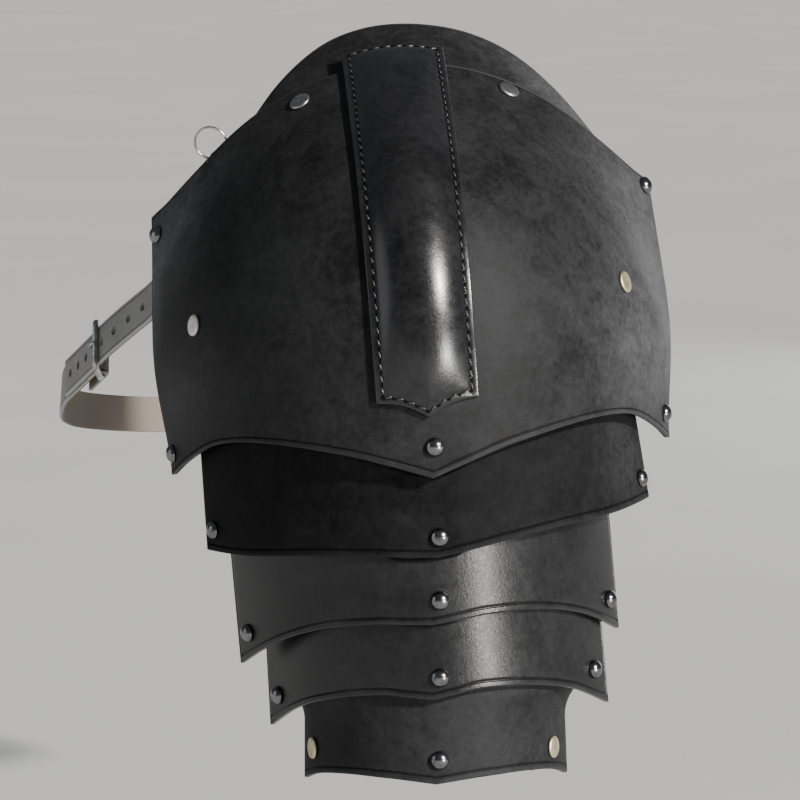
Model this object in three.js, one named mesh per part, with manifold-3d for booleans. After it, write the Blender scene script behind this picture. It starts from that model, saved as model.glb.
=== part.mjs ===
// A leather pauldron: a domed shoulder plate with a stitched raised rib down its middle, a collar
// plate tucked under its top edge and four lames down the upper arm. The front of the plates faces
// -Y, the wearer's body lies behind them towards +Y, and +Z is up. Sizes are in millimetres.

import * as THREE from "three";
import { mergeVertices } from "three/addons/utils/BufferGeometryUtils.js";
import Module from "manifold-3d";

// Driving dimensions
const LEATHER = 3; // plates
const STRAP_LEATHER = 2.5;
const TIE_LEATHER = 2; // hidden strip that carries the lames
const GAP = 0.3; // air between pieces that touch
const SEAT_BACK = 112; // the seat on the shoulder, behind the main plate's lower tip
const SEAT_UP = 172; // and above it
const MAIN_ROLL = 4; // the main plate hangs with its right side high, degrees

// Section of the main plate at three heights: half its width, its depth, and how far it wraps
// round the ellipse that it is bent to.
const MAIN_SECTIONS = [
  { up: 0, half: 127, depth: 128, wrap: 72 },
  { up: 125, half: 132, depth: 138, wrap: 70 },
  { up: 252, half: 128, depth: 82, wrap: 45 },
];
const MAIN_TOP = 252; // length of the main plate up its middle
const MAIN_TILT = 62; // lean of its top over the shoulder, degrees
const TILT_FROM = 25; // the lean starts and is complete at these lengths
const TILT_TO = 215;

// Edges of the plates, one half of each, from the middle (0) to the side edge (1). Heights are
// measured up the plate from its lower tip.
const MAIN_EDGES = [
  { across: 0, low: 0, high: 252 },
  { across: 0.12, low: 7, high: 252 },
  { across: 0.25, low: 13.5, high: 252 },
  { across: 0.5, low: 21.5, high: 250 },
  { across: 0.65, low: 22.5, high: 247 },
  { across: 0.75, low: 18.5, high: 245 },
  { across: 0.9, low: 2.5, high: 247 },
  { across: 1, low: -14, high: 253 },
];
const COLLAR_EDGES = [
  { across: 0, low: 226, high: 297 },
  { across: 0.3, low: 226, high: 296 },
  { across: 0.55, low: 226, high: 290 },
  { across: 0.8, low: 226, high: 273 },
  { across: 1, low: 226, high: 250 },
];
const COLLAR_REACH = 0.675; // of the main plate's half width
const COLLAR_SHIFT = 0.11; // to the right

// The lames: where the lower tip lies, how the lame turns and leans, and its section.
const LAMES = [
  {
    name: "lame_1", right: 3.1, back: 8, up: -39.9, roll: 6.5, yaw: 0, lean: 3.5,
    half: 112.5, depth: 90, wrap: 61, flare: 0.05, ear: 0,
    edges: [
      { across: 0, low: 0, high: 41.5, left: 41.5 },
      { across: 0.0625, low: 1, high: 41.7, left: 43.3 },
      { across: 0.125, low: 2, high: 46.2, left: 48 },
      { across: 0.1875, low: 3, high: 53.5, left: 53.5 },
      { across: 0.25, low: 4, high: 58, left: 58 },
      { across: 0.5, low: 6.4, high: 68, left: 68 },
      { across: 0.75, low: 7, high: 67, left: 67 },
      { across: 1, low: 9, high: 60, left: 60 },
    ],
  },
  {
    name: "lame_2", right: 0.5, back: 11.5, up: -73.4, roll: 5, yaw: 0.3, lean: 2.5,
    half: 95.5, depth: 76, wrap: 55, flare: 0, ear: 0,
    edges: [
      { across: 0, low: 0, high: 34.5 },
      { across: 0.12, low: 1.1, high: 35.3 },
      { across: 0.25, low: 2.2, high: 42 },
      { across: 0.5, low: 0.5, high: 50 },
      { across: 0.75, low: -7, high: 50 },
      { across: 1, low: -20, high: 49 },
    ],
  },
  {
    name: "lame_3", right: 0.5, back: 14, up: -110.8, roll: 4.3, yaw: 4.5, lean: 3,
    half: 85, depth: 70, wrap: 54, flare: 0.02, ear: 0,
    edges: [
      { across: 0, low: 0, high: 39.3 },
      { across: 0.12, low: 1.8, high: 40.3 },
      { across: 0.25, low: 3.5, high: 45 },
      { across: 0.5, low: 1.8, high: 47 },
      { across: 0.75, low: -4, high: 42 },
      { across: 1, low: -16, high: 34 },
    ],
  },
  {
    name: "lame_4", right: 2.5, back: 18.7, up: -153.5, roll: 1.1, yaw: 2.7, lean: 2.5,
    half: 66, depth: 65, wrap: 80, flare: 0.02, ear: 5,
    edges: [
      { across: 0, low: 0, high: 45, left: 45 },
      { across: 0.12, low: 1.5, high: 46.5, left: 46.5 },
      { across: 0.25, low: 2.6, high: 51, left: 50 },
      { across: 0.5, low: 3, high: 53, left: 48 },
      { across: 0.75, low: 0.5, high: 51, left: 40 },
      { across: 1, low: -5.5, high: 45, left: 31 },
    ],
  },
];
const EAR_FROM = 24; // the top corners of the lowest lame turn out above this height
const EAR_OVER = 13;
const EAR_MOST = 1.35;

// Cells across and up each plate, and how far its outer face lies below the main plate's
const PLATE_CELLS = {
  main_plate: [28, 9, 0],
  collar_plate: [18, 4, LEATHER + 0.4],
  lame_1: [32, 4, 0],
  lame_2: [22, 4, 0],
  lame_3: [20, 4, 0],
  lame_4: [22, 5, 0],
};

// The raised rib: half its width, its lower tip and its top up the main plate, its rise, and the
// part of its half width inside the flat stitched edge
const PANEL_HALF = 24.2;
const PANEL_SPREAD = 0.04; // wider at the top
const PANEL_LOW = 30;
const PANEL_HIGH = 264;
const PANEL_RISE = 7.2;
const PANEL_ROUND = 0.85; // 0.5 is an ellipse, 1 a parabola
const PANEL_FLAT = 0.84;
const PANEL_COLUMNS = [-1, -0.84, -0.68, -0.4, 0, 0.4, 0.68, 0.84, 1];
const PANEL_ROWS = [0, 0.03, 0.07, 0.14, 0.24, 0.35, 0.46, 0.57, 0.68, 0.78, 0.87, 0.93, 0.97, 1];
const PANEL_EDGE = [
  { across: 0, rise: 0 },
  { across: 0.4, rise: 5.4 },
  { across: 0.7, rise: 7.6 },
  { across: 1, rise: 8.5 },
];

// Rivets: outlines of the two heads, then where each one stands and the layers that it holds
const POST_RADIUS = 1.6;
const HOLE_RADIUS = 2.1;
const CAP_RADIUS = 3.2;
const CAP_THICK = 1;
const RIVET_SIDES = 8;
const RIVET_SHAPES = {
  dome: [[4.5, 0], [4.5, 0.8], [3.6, 2.3], [2, 3.3], [0, 3.6]],
  flat: [[5.4, 0], [5.4, 0.7], [4.7, 1.2], [0, 1.5]],
};
const RIVETS = [
  { name: "rivet_main_1", plate: "main_plate", across: -0.965, up: 233.6, grip: 4 },
  { name: "rivet_main_2", plate: "main_plate", across: 0.965, up: 243.4, grip: 3.4 },
  { name: "rivet_main_3", plate: "main_plate", across: -0.955, up: 11.7, grip: 3 },
  { name: "rivet_main_4", plate: "main_plate", across: 0.93, up: 16, grip: 3 },
  { name: "rivet_main_5", plate: "main_plate", across: 0.011, up: 15.3, grip: 6.2, tie: true },
  { name: "rivet_strap_1", plate: "main_plate", across: -0.725, up: 111.6, grip: 7,
    kind: "flat", layers: ["chest_billet"] },
  { name: "rivet_strap_2", plate: "main_plate", across: 0.682, up: 115.3, grip: 7,
    kind: "flat", metal: "brass", layers: ["chest_strap"] },
  { name: "rivet_collar_1", plate: "main_plate", across: -0.338, up: 237.2, grip: 6.5,
    kind: "flat", layers: ["collar_plate"] },
  { name: "rivet_collar_2", plate: "main_plate", across: 0.396, up: 240.1, grip: 6.5,
    kind: "flat", layers: ["collar_plate"] },
  { name: "rivet_lame_1a", plate: "lame_1", across: -0.934, up: 19.5, grip: 3 },
  { name: "rivet_lame_1b", plate: "lame_1", across: 0.012, up: 10.1, grip: 6.3, tie: true },
  { name: "rivet_lame_1c", plate: "lame_1", across: 0.945, up: 19.8, grip: 3 },
  { name: "rivet_lame_2a", plate: "lame_2", across: -0.916, up: -3.6, grip: 3 },
  { name: "rivet_lame_2b", plate: "lame_2", across: 0.04, up: 11.7, grip: 6.9, tie: true },
  { name: "rivet_lame_2c", plate: "lame_2", across: 0.93, up: -3.8, grip: 3 },
  { name: "rivet_lame_3a", plate: "lame_3", across: -0.901, up: 0.3, grip: 3 },
  { name: "rivet_lame_3b", plate: "lame_3", across: 0.044, up: 10.9, grip: 7, tie: true },
  { name: "rivet_lame_3c", plate: "lame_3", across: 0.901, up: 2.6, grip: 3 },
  { name: "rivet_lame_4a", plate: "lame_4", across: -0.814, up: 12.3, grip: 5.9,
    kind: "flat", metal: "brass", layers: ["arm_strap"] },
  { name: "rivet_lame_4b", plate: "lame_4", across: 0.021, up: 12.2, grip: 6.4, tie: true },
  { name: "rivet_lame_4c", plate: "lame_4", across: 0.754, up: 11.5, grip: 5.9,
    kind: "flat", metal: "brass", layers: ["arm_strap"] },
].map((row) => ({ kind: "dome", metal: "steel", layers: row.tie ? ["tie_strip"] : [], ...row }));

// Hidden strip down the inside of the lames: right, up and back of its outer face
const TIE_WIDTH = 16;
const TIE_STOPS = [
  [1.2, 26, 3.9],
  [1.2, 12.8, 3.9],
  [1.2, 10.4, 5],
  [1.3, 6.4, 12.8],
  [1.4, 4.6, 14.6],
  [1.5, 1, 14.6],
  [1.8, -24, 13.1],
  [1.8, -33, 12.5],
  [1.8, -34.2, 13.2],
  [1.8, -36, 17.3],
  [1.8, -38, 17.9],
  [1.8, -58, 17],
  [1.8, -65, 16.7],
  [1.8, -66.2, 17.3],
  [1.8, -68.8, 20.1],
  [1.8, -71, 20.8],
  [1.9, -94, 19.5],
  [2, -103, 19],
  [2.1, -104.2, 19.4],
  [2.2, -106.8, 24.4],
  [2.2, -109, 25.1],
  [2.3, -130, 24.1],
  [2.4, -149, 23.3],
];

// Straps, 20 mm wide: stops under a plate, or free ones with the way that the outer face looks
const STRAP_WIDTH = 20;
const STRAP_SUNK = LEATHER + GAP + STRAP_LEATHER / 2 + 0.1;
const MAIN_BOW = 1; // a flat strap stands this much further off under the doubly bent main plate
const ARM_STOPS = [
  { plate: "lame_4", across: -0.68, up: 12.3 },
  { plate: "lame_4", across: -0.814, up: 12.3 },
  { plate: "lame_4", across: -0.95, up: 12 },
  { plate: "lame_4", across: -1.02, up: 12, deeper: 0.6 },
  { right: -56.8, back: 102, up: -146, look: -104, tip: 0 },
  { right: -47, back: 122, up: -147, look: -130, tip: 0 },
  { right: -27, back: 139, up: -148, look: -155, tip: 0 },
  { right: 1, back: 146, up: -148, look: -180, tip: 0 },
  { right: 29, back: 139, up: -148, look: -205, tip: 0 },
  { right: 51, back: 121, up: -147, look: -230, tip: 0 },
  { right: 59.5, back: 100, up: -146, look: -256, tip: 0 },
  { plate: "lame_4", across: 1.02, up: 11.8, deeper: 0.6 },
  { plate: "lame_4", across: 0.93, up: 11.8, deeper: 0.4 },
  { plate: "lame_4", across: 0.84, up: 11.6 },
  { plate: "lame_4", across: 0.754, up: 11.5 },
  { plate: "lame_4", across: 0.62, up: 11.5 },
];
const BILLET_STOPS = [
  { plate: "main_plate", across: -0.66, up: 103 },
  { plate: "main_plate", across: -0.725, up: 111.6 },
  { plate: "main_plate", across: -0.83, up: 133 },
  { plate: "main_plate", across: -0.93, up: 161 },
  { right: -131.8, back: 151, up: 74, look: -76, tip: 8 },
  { right: -138.5, back: 165, up: 67.5, look: -70, tip: 8 },
  { right: -149, back: 181, up: 57.5, look: -69, tip: 8 },
  { right: -160, back: 198, up: 46.4, look: -71, tip: 8 },
  { right: -164.5, back: 211.2, up: 40.6, look: -72, tip: 8 },
  { right: -169, back: 224.4, up: 35, look: -72, tip: 8 },
  { right: -173.5, back: 237.6, up: 29.4, look: -72, tip: 8 },
  { right: -178, back: 250.8, up: 23.8, look: -72, tip: 8 },
  { right: -182.5, back: 264, up: 18.2, look: -72, tip: 8 },
];
const HEEL_STOP = 9;
const PUNCH_RUNS = [86, 71, 56, 41, 26, -4, -19, -34];
const PUNCH_RADIUS = 2.4;
const CHEST_STOPS = [
  { right: -185.6, back: 300, up: 2.6, look: -82, tip: 8 },
  { right: -181, back: 330, up: -5.6, look: -98, tip: 6 },
  { right: -168, back: 368, up: -12.8, look: -115, tip: 4 },
  { right: -140, back: 412, up: -20, look: -135, tip: 2 },
  { right: -96, back: 445, up: -24, look: -154, tip: 0 },
  { right: -36, back: 460, up: -26, look: -174, tip: 0 },
  { right: 24, back: 452, up: -25, look: -194, tip: 0 },
  { right: 76, back: 422, up: -18, look: -215, tip: 2 },
  { right: 110, back: 372, up: -2, look: -238, tip: 5 },
  { right: 123, back: 312, up: 22, look: -258, tip: 8 },
  { right: 127, back: 250, up: 48, look: -266, tip: 10 },
  { right: 127, back: 195, up: 70, look: -276, tip: 14 },
  { plate: "main_plate", across: 0.985, up: 181 },
  { plate: "main_plate", across: 0.9, up: 156 },
  { plate: "main_plate", across: 0.79, up: 133 },
  { plate: "main_plate", across: 0.682, up: 115.3 },
  { plate: "main_plate", across: 0.62, up: 106 },
];

// Buckle of round bar, its prong, and the fold of the strap round its heel bar
const BAR_RADIUS = 1.6;
const PRONG_RADIUS = 1.2;
const FRAME_LENGTH = 21;
const FRAME_HALF = 12.6;
const FOLD_LENGTH = 30;

// Ring and the folded tab that holds it
const RING_RADIUS = 8.3;
const RING_WIRE = 0.6;
const RING_ACROSS = -0.7;
const RING_UP = 251;
const TAB_SUNK = 7.7;
const TAB_WIDTH = 9;
const TAB_LEATHER = 1.5;
const TAB_LENGTH = 26;
const EYE_RADIUS = 2.6;

const plain = (color, roughness, metalness) =>
  new THREE.MeshStandardMaterial({ color, roughness, metalness });
const LEATHERS = {
  plate: plain(0x3b3c3e, 0.45, 0),
  strap: plain(0x2c2c2e, 0.6, 0),
  belt: plain(0x85827c, 0.6, 0),
};
const METALS = {
  steel: plain(0xb9bcc0, 0.28, 1),
  brass: plain(0xcdbf98, 0.35, 1),
};

const wasm = await Module();
wasm.setup();

const radians = THREE.MathUtils.degToRad;

// Smooth curve through a table's column, with the same slope on both sides of each row.
function readTable(rows, key, column, at) {
  const last = rows.length - 1;
  let low = rows.findIndex((row, index) => index < last && at <= rows[index + 1][key]);
  if (low < 0) low = last - 1;
  const slope = (index) => {
    const before = rows[Math.max(index - 1, 0)];
    const after = rows[Math.min(index + 1, last)];
    return (after[column] - before[column]) / (after[key] - before[key]);
  };
  const from = rows[low];
  const to = rows[low + 1];
  const width = to[key] - from[key];
  const t = (at - from[key]) / width;
  if (t > 1) return to[column];
  const t2 = t * t;
  const t3 = t2 * t;
  return (2 * t3 - 3 * t2 + 1) * from[column] + (t3 - 2 * t2 + t) * width * slope(low)
    + (3 * t2 - 2 * t3) * to[column] + (t3 - t2) * width * slope(low + 1);
}

// A plate is a bent sheet: a spine in its middle plane, and an elliptic section at each height.
function mainSpine(up) {
  const steps = Math.ceil(Math.abs(up) / 4) + 1;
  const spine = { back: 0, up: 0, tilt: 0 };
  for (let step = 0; step < steps; step++) {
    const tilt = mainTilt((up * (step + 0.5)) / steps);
    spine.back += (Math.sin(tilt) * up) / steps;
    spine.up += (Math.cos(tilt) * up) / steps;
  }
  spine.tilt = (radians(MAIN_TILT) * up) / MAIN_TOP;
  return spine;
}

function mainTilt(up) {
  return radians(MAIN_TILT) * THREE.MathUtils.smoothstep(up, TILT_FROM, TILT_TO);
}

function mainSection(up) {
  const at = THREE.MathUtils.clamp(up, 0, MAIN_TOP);
  return {
    half: readTable(MAIN_SECTIONS, "up", "half", at),
    depth: readTable(MAIN_SECTIONS, "up", "depth", at),
    wrap: radians(readTable(MAIN_SECTIONS, "up", "wrap", at)),
  };
}

// Roll lifts the right side, and yaw brings the right side edge forward.
function turned(roll, yaw, right, back, up) {
  const place = new THREE.Matrix4().makeRotationZ(radians(-yaw));
  place.multiply(new THREE.Matrix4().makeRotationY(radians(-roll)));
  return place.setPosition(right, back, up);
}

const MAIN = {
  spine: mainSpine,
  section: mainSection,
  edge: (across, side) => readTable(MAIN_EDGES, "across", side, Math.abs(across)),
  across: (part) => part,
  place: turned(MAIN_ROLL, 0, 0, 0, 0),
};

const COLLAR = {
  ...MAIN,
  edge: (across, side) => readTable(COLLAR_EDGES, "across", side, Math.abs(across)),
  across: (part) => COLLAR_SHIFT + COLLAR_REACH * part,
};

function lamePlate(row) {
  const lean = radians(row.lean);
  return {
    spine: (up) => ({ back: up * Math.sin(lean), up: up * Math.cos(lean), tilt: lean }),
    section: (up) => {
      const ear = row.ear * THREE.MathUtils.clamp((up - EAR_FROM) / EAR_OVER, 0, EAR_MOST) ** 2;
      return { half: row.half - row.flare * up + ear, depth: row.depth, wrap: radians(row.wrap) };
    },
    edge: (across, side) => {
      const left = across < 0 && side === "high" && "left" in row.edges[0];
      return readTable(row.edges, "across", left ? "left" : side, Math.abs(across));
    },
    across: (part) => part,
    place: turned(row.roll, row.yaw, row.right, row.back, row.up),
  };
}

const PLATES = { main_plate: MAIN, collar_plate: COLLAR };
for (const row of LAMES) PLATES[row.name] = lamePlate(row);

// Point of a plate's outer face before it is rolled and set in place.
function bentPoint(plate, across, up) {
  const spine = plate.spine(up);
  const section = plate.section(up);
  const turn = section.wrap * plate.across(across);
  const right = (section.half * Math.sin(turn)) / Math.sin(section.wrap);
  const deep = (section.depth * (1 - Math.cos(turn))) / (1 - Math.cos(section.wrap));
  return new THREE.Vector3(
    right,
    spine.back + deep * Math.cos(spine.tilt),
    spine.up - deep * Math.sin(spine.tilt),
  );
}

// Point and outward direction of a plate at a height up it, sunk below its outer face.
function onPlate(plate, across, up, sunk = 0) {
  const step = 0.01;
  const point = bentPoint(plate, across, up);
  const sideways = bentPoint(plate, across + step, up).sub(bentPoint(plate, across - step, up));
  const upwards = bentPoint(plate, across, up + 1).sub(bentPoint(plate, across, up - 1));
  const out = sideways.cross(upwards).normalize();
  point.addScaledVector(out, -sunk).applyMatrix4(plate.place);
  out.transformDirection(plate.place);
  return { point, out };
}

// A closed body's points joined into one skin, without the slivers at a lathe's poles.
function closed(geometry) {
  const bare = geometry.clone();
  bare.deleteAttribute("normal");
  bare.deleteAttribute("uv");
  const joined = mergeVertices(bare, 1e-4);
  const corners = Array.from(joined.index.array);
  const kept = [];
  for (let at = 0; at < corners.length; at += 3) {
    const [a, b, c] = corners.slice(at, at + 3);
    if (a !== b && b !== c && c !== a) kept.push(a, b, c);
  }
  joined.setIndex(kept);
  return joined;
}

function solid(geometry) {
  const skin = closed(geometry);
  return new wasm.Manifold(new wasm.Mesh({
    numProp: 3,
    vertProperties: new Float32Array(skin.attributes.position.array),
    triVerts: new Uint32Array(skin.index.array),
  }));
}

function without(geometry, cutters) {
  let left = solid(geometry);
  for (const cutter of cutters) left = left.subtract(solid(cutter));
  return skinOf(left);
}

function joinedUp(geometries) {
  let whole = solid(geometries[0]);
  for (const geometry of geometries.slice(1)) whole = whole.add(solid(geometry));
  return skinOf(whole);
}

function skinOf(body) {
  const mesh = body.getMesh();
  const geometry = new THREE.BufferGeometry();
  geometry.setAttribute("position", new THREE.Float32BufferAttribute(mesh.vertProperties, 3));
  geometry.setIndex(Array.from(mesh.triVerts));
  return geometry;
}

// Sheet between two grids of points, one for each face. Rows run up, columns to the right.
function sheet(outer, inner) {
  const rows = outer.length;
  const columns = outer[0].length;
  const corners = [];
  const at = (row, column, side) => side * rows * columns + row * columns + column;
  const quad = (a, b, c, d) => corners.push(a, b, c, a, c, d);
  for (let row = 0; row < rows - 1; row++) {
    for (let column = 0; column < columns - 1; column++) {
      quad(at(row, column, 0), at(row, column + 1, 0), at(row + 1, column + 1, 0),
        at(row + 1, column, 0));
      quad(at(row, column, 1), at(row + 1, column, 1), at(row + 1, column + 1, 1),
        at(row, column + 1, 1));
    }
  }
  const top = rows - 1;
  const end = columns - 1;
  for (let column = 0; column < end; column++) {
    quad(at(0, column, 1), at(0, column + 1, 1), at(0, column + 1, 0), at(0, column, 0));
    quad(at(top, column, 0), at(top, column + 1, 0), at(top, column + 1, 1), at(top, column, 1));
  }
  for (let row = 0; row < top; row++) {
    quad(at(row, 0, 0), at(row + 1, 0, 0), at(row + 1, 0, 1), at(row, 0, 1));
    quad(at(row, end, 1), at(row + 1, end, 1), at(row + 1, end, 0), at(row, end, 0));
  }
  const geometry = new THREE.BufferGeometry();
  const points = [...outer.flat(), ...inner.flat()];
  geometry.setFromPoints(points);
  geometry.setIndex(corners);
  return geometry;
}

// Sheet over a plate's bent surface, cut to its low and high edges.
function plateSheet(plate, columns, rows, sunk) {
  const face = (depth) => {
    const grid = [];
    for (let row = 0; row <= rows; row++) {
      const line = [];
      for (let column = 0; column <= columns; column++) {
        const across = (2 * column) / columns - 1;
        const low = plate.edge(across, "low");
        const up = low + ((plate.edge(across, "high") - low) * row) / rows;
        line.push(onPlate(plate, across, up, depth).point);
      }
      grid.push(line);
    }
    return grid;
  };
  return sheet(face(sunk), face(sunk + LEATHER));
}

// The rib down the middle: a strip of leather moulded up off the plate between its stitched edges.
function panelSheet() {
  const face = (thickness) => PANEL_ROWS.map((part) => PANEL_COLUMNS.map((across) => {
    const low = PANEL_LOW + readTable(PANEL_EDGE, "across", "rise", Math.abs(across));
    const up = low + (PANEL_HIGH - low) * part;
    const section = MAIN.section(up);
    const right = PANEL_HALF * across * (1 + PANEL_SPREAD * part);
    const turn = Math.asin((right * Math.sin(section.wrap)) / section.half);
    const body = Math.max(0, 1 - (across / PANEL_FLAT) ** 2);
    const rise = PANEL_RISE * body ** PANEL_ROUND * (1 - (2 * part - 1) ** 8);
    return onPlate(MAIN, turn / section.wrap, up, -GAP - 0.22 - rise - thickness).point;
  }));
  return sheet(face(STRAP_LEATHER), face(0));
}

// How far a face stands above a rivet's foot within the reach of its head or cap
function bump(plate, row, reach, sunk) {
  const foot = onPlate(plate, row.across, row.up, sunk);
  const highs = [];
  for (let step = 0; step < 8; step++) {
    const turn = (Math.PI * step) / 4;
    const across = row.across + (0.008 * reach) * Math.cos(turn);
    const near = onPlate(plate, across, row.up + reach * Math.sin(turn), sunk).point;
    highs.push(near.sub(foot.point).dot(foot.out));
  }
  return { high: Math.max(0, ...highs), low: Math.min(0, ...highs) };
}

// Turned metal: a rivet stands along the way out of a plate, and its cap closes under the layers.
function rivet(row, place) {
  const shape = RIVET_SHAPES[row.kind];
  const plate = PLATES[row.plate];
  const seat = GAP + bump(plate, row, shape[0][0], 0).high;
  const cap = -row.grip - GAP + bump(plate, row, CAP_RADIUS, LEATHER).low;
  const outline = [
    [0, cap - CAP_THICK],
    [CAP_RADIUS, cap - CAP_THICK],
    [CAP_RADIUS, cap],
    [POST_RADIUS, cap],
    [POST_RADIUS, seat],
    ...shape.map(([radius, high]) => [radius, seat + high]),
  ];
  return standing(new THREE.LatheGeometry(
    outline.map(([radius, high]) => new THREE.Vector2(radius, high)), RIVET_SIDES), place);
}

function rivetHole(grip, place) {
  const hole = new THREE.CylinderGeometry(HOLE_RADIUS, HOLE_RADIUS, grip + 6, RIVET_SIDES);
  hole.translate(0, -grip / 2, 0);
  return standing(hole, place);
}

function standing(geometry, place) {
  const up = new THREE.Vector3(0, 1, 0);
  geometry.applyQuaternion(new THREE.Quaternion().setFromUnitVectors(up, place.out));
  return geometry.translate(place.point.x, place.point.y, place.point.z);
}

// A strap's middle line through its stops, and the way that its outer face looks at each of them.
function smoothLine(stops, steps) {
  const middle = new THREE.CatmullRomCurve3(stops.map((stop) => stop.point));
  const facing = new THREE.CatmullRomCurve3(stops.map((stop) => stop.out));
  const line = [];
  for (let step = 0; step <= steps; step++) {
    line.push({ point: middle.getPoint(step / steps), out: facing.getPoint(step / steps) });
  }
  return line;
}

function band(line, width, thickness) {
  const faces = [[], []];
  line.forEach((stop, index) => {
    const along = line[Math.min(index + 1, line.length - 1)].point.clone();
    along.sub(line[Math.max(index - 1, 0)].point).normalize();
    const out = stop.out.clone().addScaledVector(along, -stop.out.dot(along)).normalize();
    const side = along.clone().cross(out);
    faces.forEach((face, inner) => {
      const middle = stop.point.clone().addScaledVector(out, (0.5 - inner) * thickness);
      face.push([-0.5, 0.5].map((part) => middle.clone().addScaledVector(side, part * width)));
    });
  });
  return sheet(faces[0], faces[1]);
}

function tube(points, radius, steps, sides) {
  const path = new THREE.CatmullRomCurve3(points);
  const ring = new THREE.Shape().absarc(0, 0, radius, 0, 2 * Math.PI);
  return new THREE.ExtrudeGeometry(ring, { extrudePath: path, steps, curveSegments: sides });
}

function bar(from, to, radius) {
  const rod = new THREE.CylinderGeometry(radius, radius, from.distanceTo(to), 6);
  const out = to.clone().sub(from).normalize();
  return standing(rod, { point: from.clone().add(to).multiplyScalar(0.5), out });
}

const group = new THREE.Group();

function addPiece(name, geometry, material) {
  const mesh = new THREE.Mesh(geometry, material);
  mesh.name = name;
  group.add(mesh);
}

// Rivets on the plates, and the holes that they need in every layer
const holes = { tie_strip: [], collar_plate: [], chest_billet: [], chest_strap: [], arm_strap: [] };
for (const name of Object.keys(PLATES)) holes[name] = [];
for (const row of RIVETS) {
  const place = onPlate(PLATES[row.plate], row.across, row.up);
  for (const layer of [row.plate, ...row.layers]) holes[layer].push(rivetHole(row.grip, place));
  addPiece(row.name, closed(rivet(row, place)), METALS[row.metal]);
}

// Plates
for (const [name, plate] of Object.entries(PLATES)) {
  const [columns, rows, sunk] = PLATE_CELLS[name];
  addPiece(name, without(plateSheet(plate, columns, rows, sunk), holes[name]), LEATHERS.plate);
}
addPiece("centre_panel", closed(panelSheet()), LEATHERS.plate);

// Hidden strip that carries the lames
const tieLine = TIE_STOPS.map(([right, up, back]) => ({
  point: new THREE.Vector3(right, back + TIE_LEATHER / 2, up),
  out: new THREE.Vector3(0, -1, 0),
}));
addPiece("tie_strip", without(band(tieLine, TIE_WIDTH, TIE_LEATHER), holes.tie_strip),
  LEATHERS.strap);

// Straps: a stop is a place under a plate, or a free place with the way that the strap looks there.
function strapStops(rows) {
  return rows.map((row) => {
    const bow = row.plate === "main_plate" ? MAIN_BOW : 0;
    const sunk = STRAP_SUNK + bow + (row.deeper ?? 0);
    if (row.plate) return onPlate(PLATES[row.plate], row.across, row.up, sunk);
    return {
      point: new THREE.Vector3(row.right, row.back, row.up),
      out: new THREE.Vector3(
        Math.sin(radians(row.look)), -Math.cos(radians(row.look)), Math.sin(radians(row.tip))),
    };
  });
}

addPiece("arm_strap", without(
  band(smoothLine(strapStops(ARM_STOPS), 36), STRAP_WIDTH, STRAP_LEATHER), holes.arm_strap),
LEATHERS.strap);

// The buckle's own frame: along the billet's run, across it, and out of its face
const billetStops = strapStops(BILLET_STOPS);
const heel = billetStops[HEEL_STOP].point;
const along = billetStops[HEEL_STOP].point.clone().sub(billetStops[HEEL_STOP - 1].point).normalize();
const face = billetStops[HEEL_STOP].out.clone();
face.addScaledVector(along, -face.dot(along)).normalize();
const sideways = along.clone().cross(face);
const atBuckle = (run, out, side = 0) => heel.clone().addScaledVector(along, run)
  .addScaledVector(face, out).addScaledVector(sideways, side);

const heelDrop = STRAP_LEATHER / 2 + 2 * GAP + STRAP_LEATHER + BAR_RADIUS;
const frontRise = STRAP_LEATHER / 2 + GAP + 0.1 + BAR_RADIUS;
const prongPath = [
  atBuckle(0, -heelDrop),
  atBuckle(-7, -heelDrop + 3.2),
  atBuckle(-13, 2.2),
  atBuckle(-FRAME_LENGTH + 2, frontRise + 2.1),
  atBuckle(-FRAME_LENGTH - 2.5, frontRise + 1.6),
];
const frameBars = [-1, 1].map((side) => bar(
  atBuckle(0, -heelDrop, side * FRAME_HALF), atBuckle(-FRAME_LENGTH, frontRise, side * FRAME_HALF),
  BAR_RADIUS));
for (const [run, out] of [[0, -heelDrop], [-FRAME_LENGTH, frontRise]]) {
  frameBars.push(bar(atBuckle(run, out, -FRAME_HALF - BAR_RADIUS * 0.9),
    atBuckle(run, out, FRAME_HALF + BAR_RADIUS * 0.9), BAR_RADIUS));
}
frameBars.push(closed(tube(prongPath, PRONG_RADIUS, 8, 6)));
addPiece("chest_buckle", joinedUp(frameBars), METALS.steel);
const prongSlot = tube(prongPath, PRONG_RADIUS + 0.6, 8, 6);

// Billet with its row of adjusting holes
const billetLine = smoothLine(billetStops, 30);
const punches = PUNCH_RUNS.map((run) => {
  const cutter = new THREE.CylinderGeometry(PUNCH_RADIUS, PUNCH_RADIUS, 8, 7);
  return standing(cutter, placeAlong(billetLine, run));
});
addPiece("chest_billet", without(band(billetLine, STRAP_WIDTH, STRAP_LEATHER),
  [...holes.chest_billet, ...punches, prongSlot]), LEATHERS.belt);

// Place on a line at a run measured from the heel bar, against the way that the line goes
function placeAlong(line, run) {
  const away = line.map((stop) => stop.point.clone().sub(heel).dot(along));
  let index = away.findIndex((value) => value >= -run);
  if (index < 1) index = 1;
  const part = (-run - away[index - 1]) / (away[index] - away[index - 1]);
  return {
    point: line[index - 1].point.clone().lerp(line[index].point, part),
    out: line[index - 1].out.clone().lerp(line[index].out, part).normalize(),
  };
}

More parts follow.
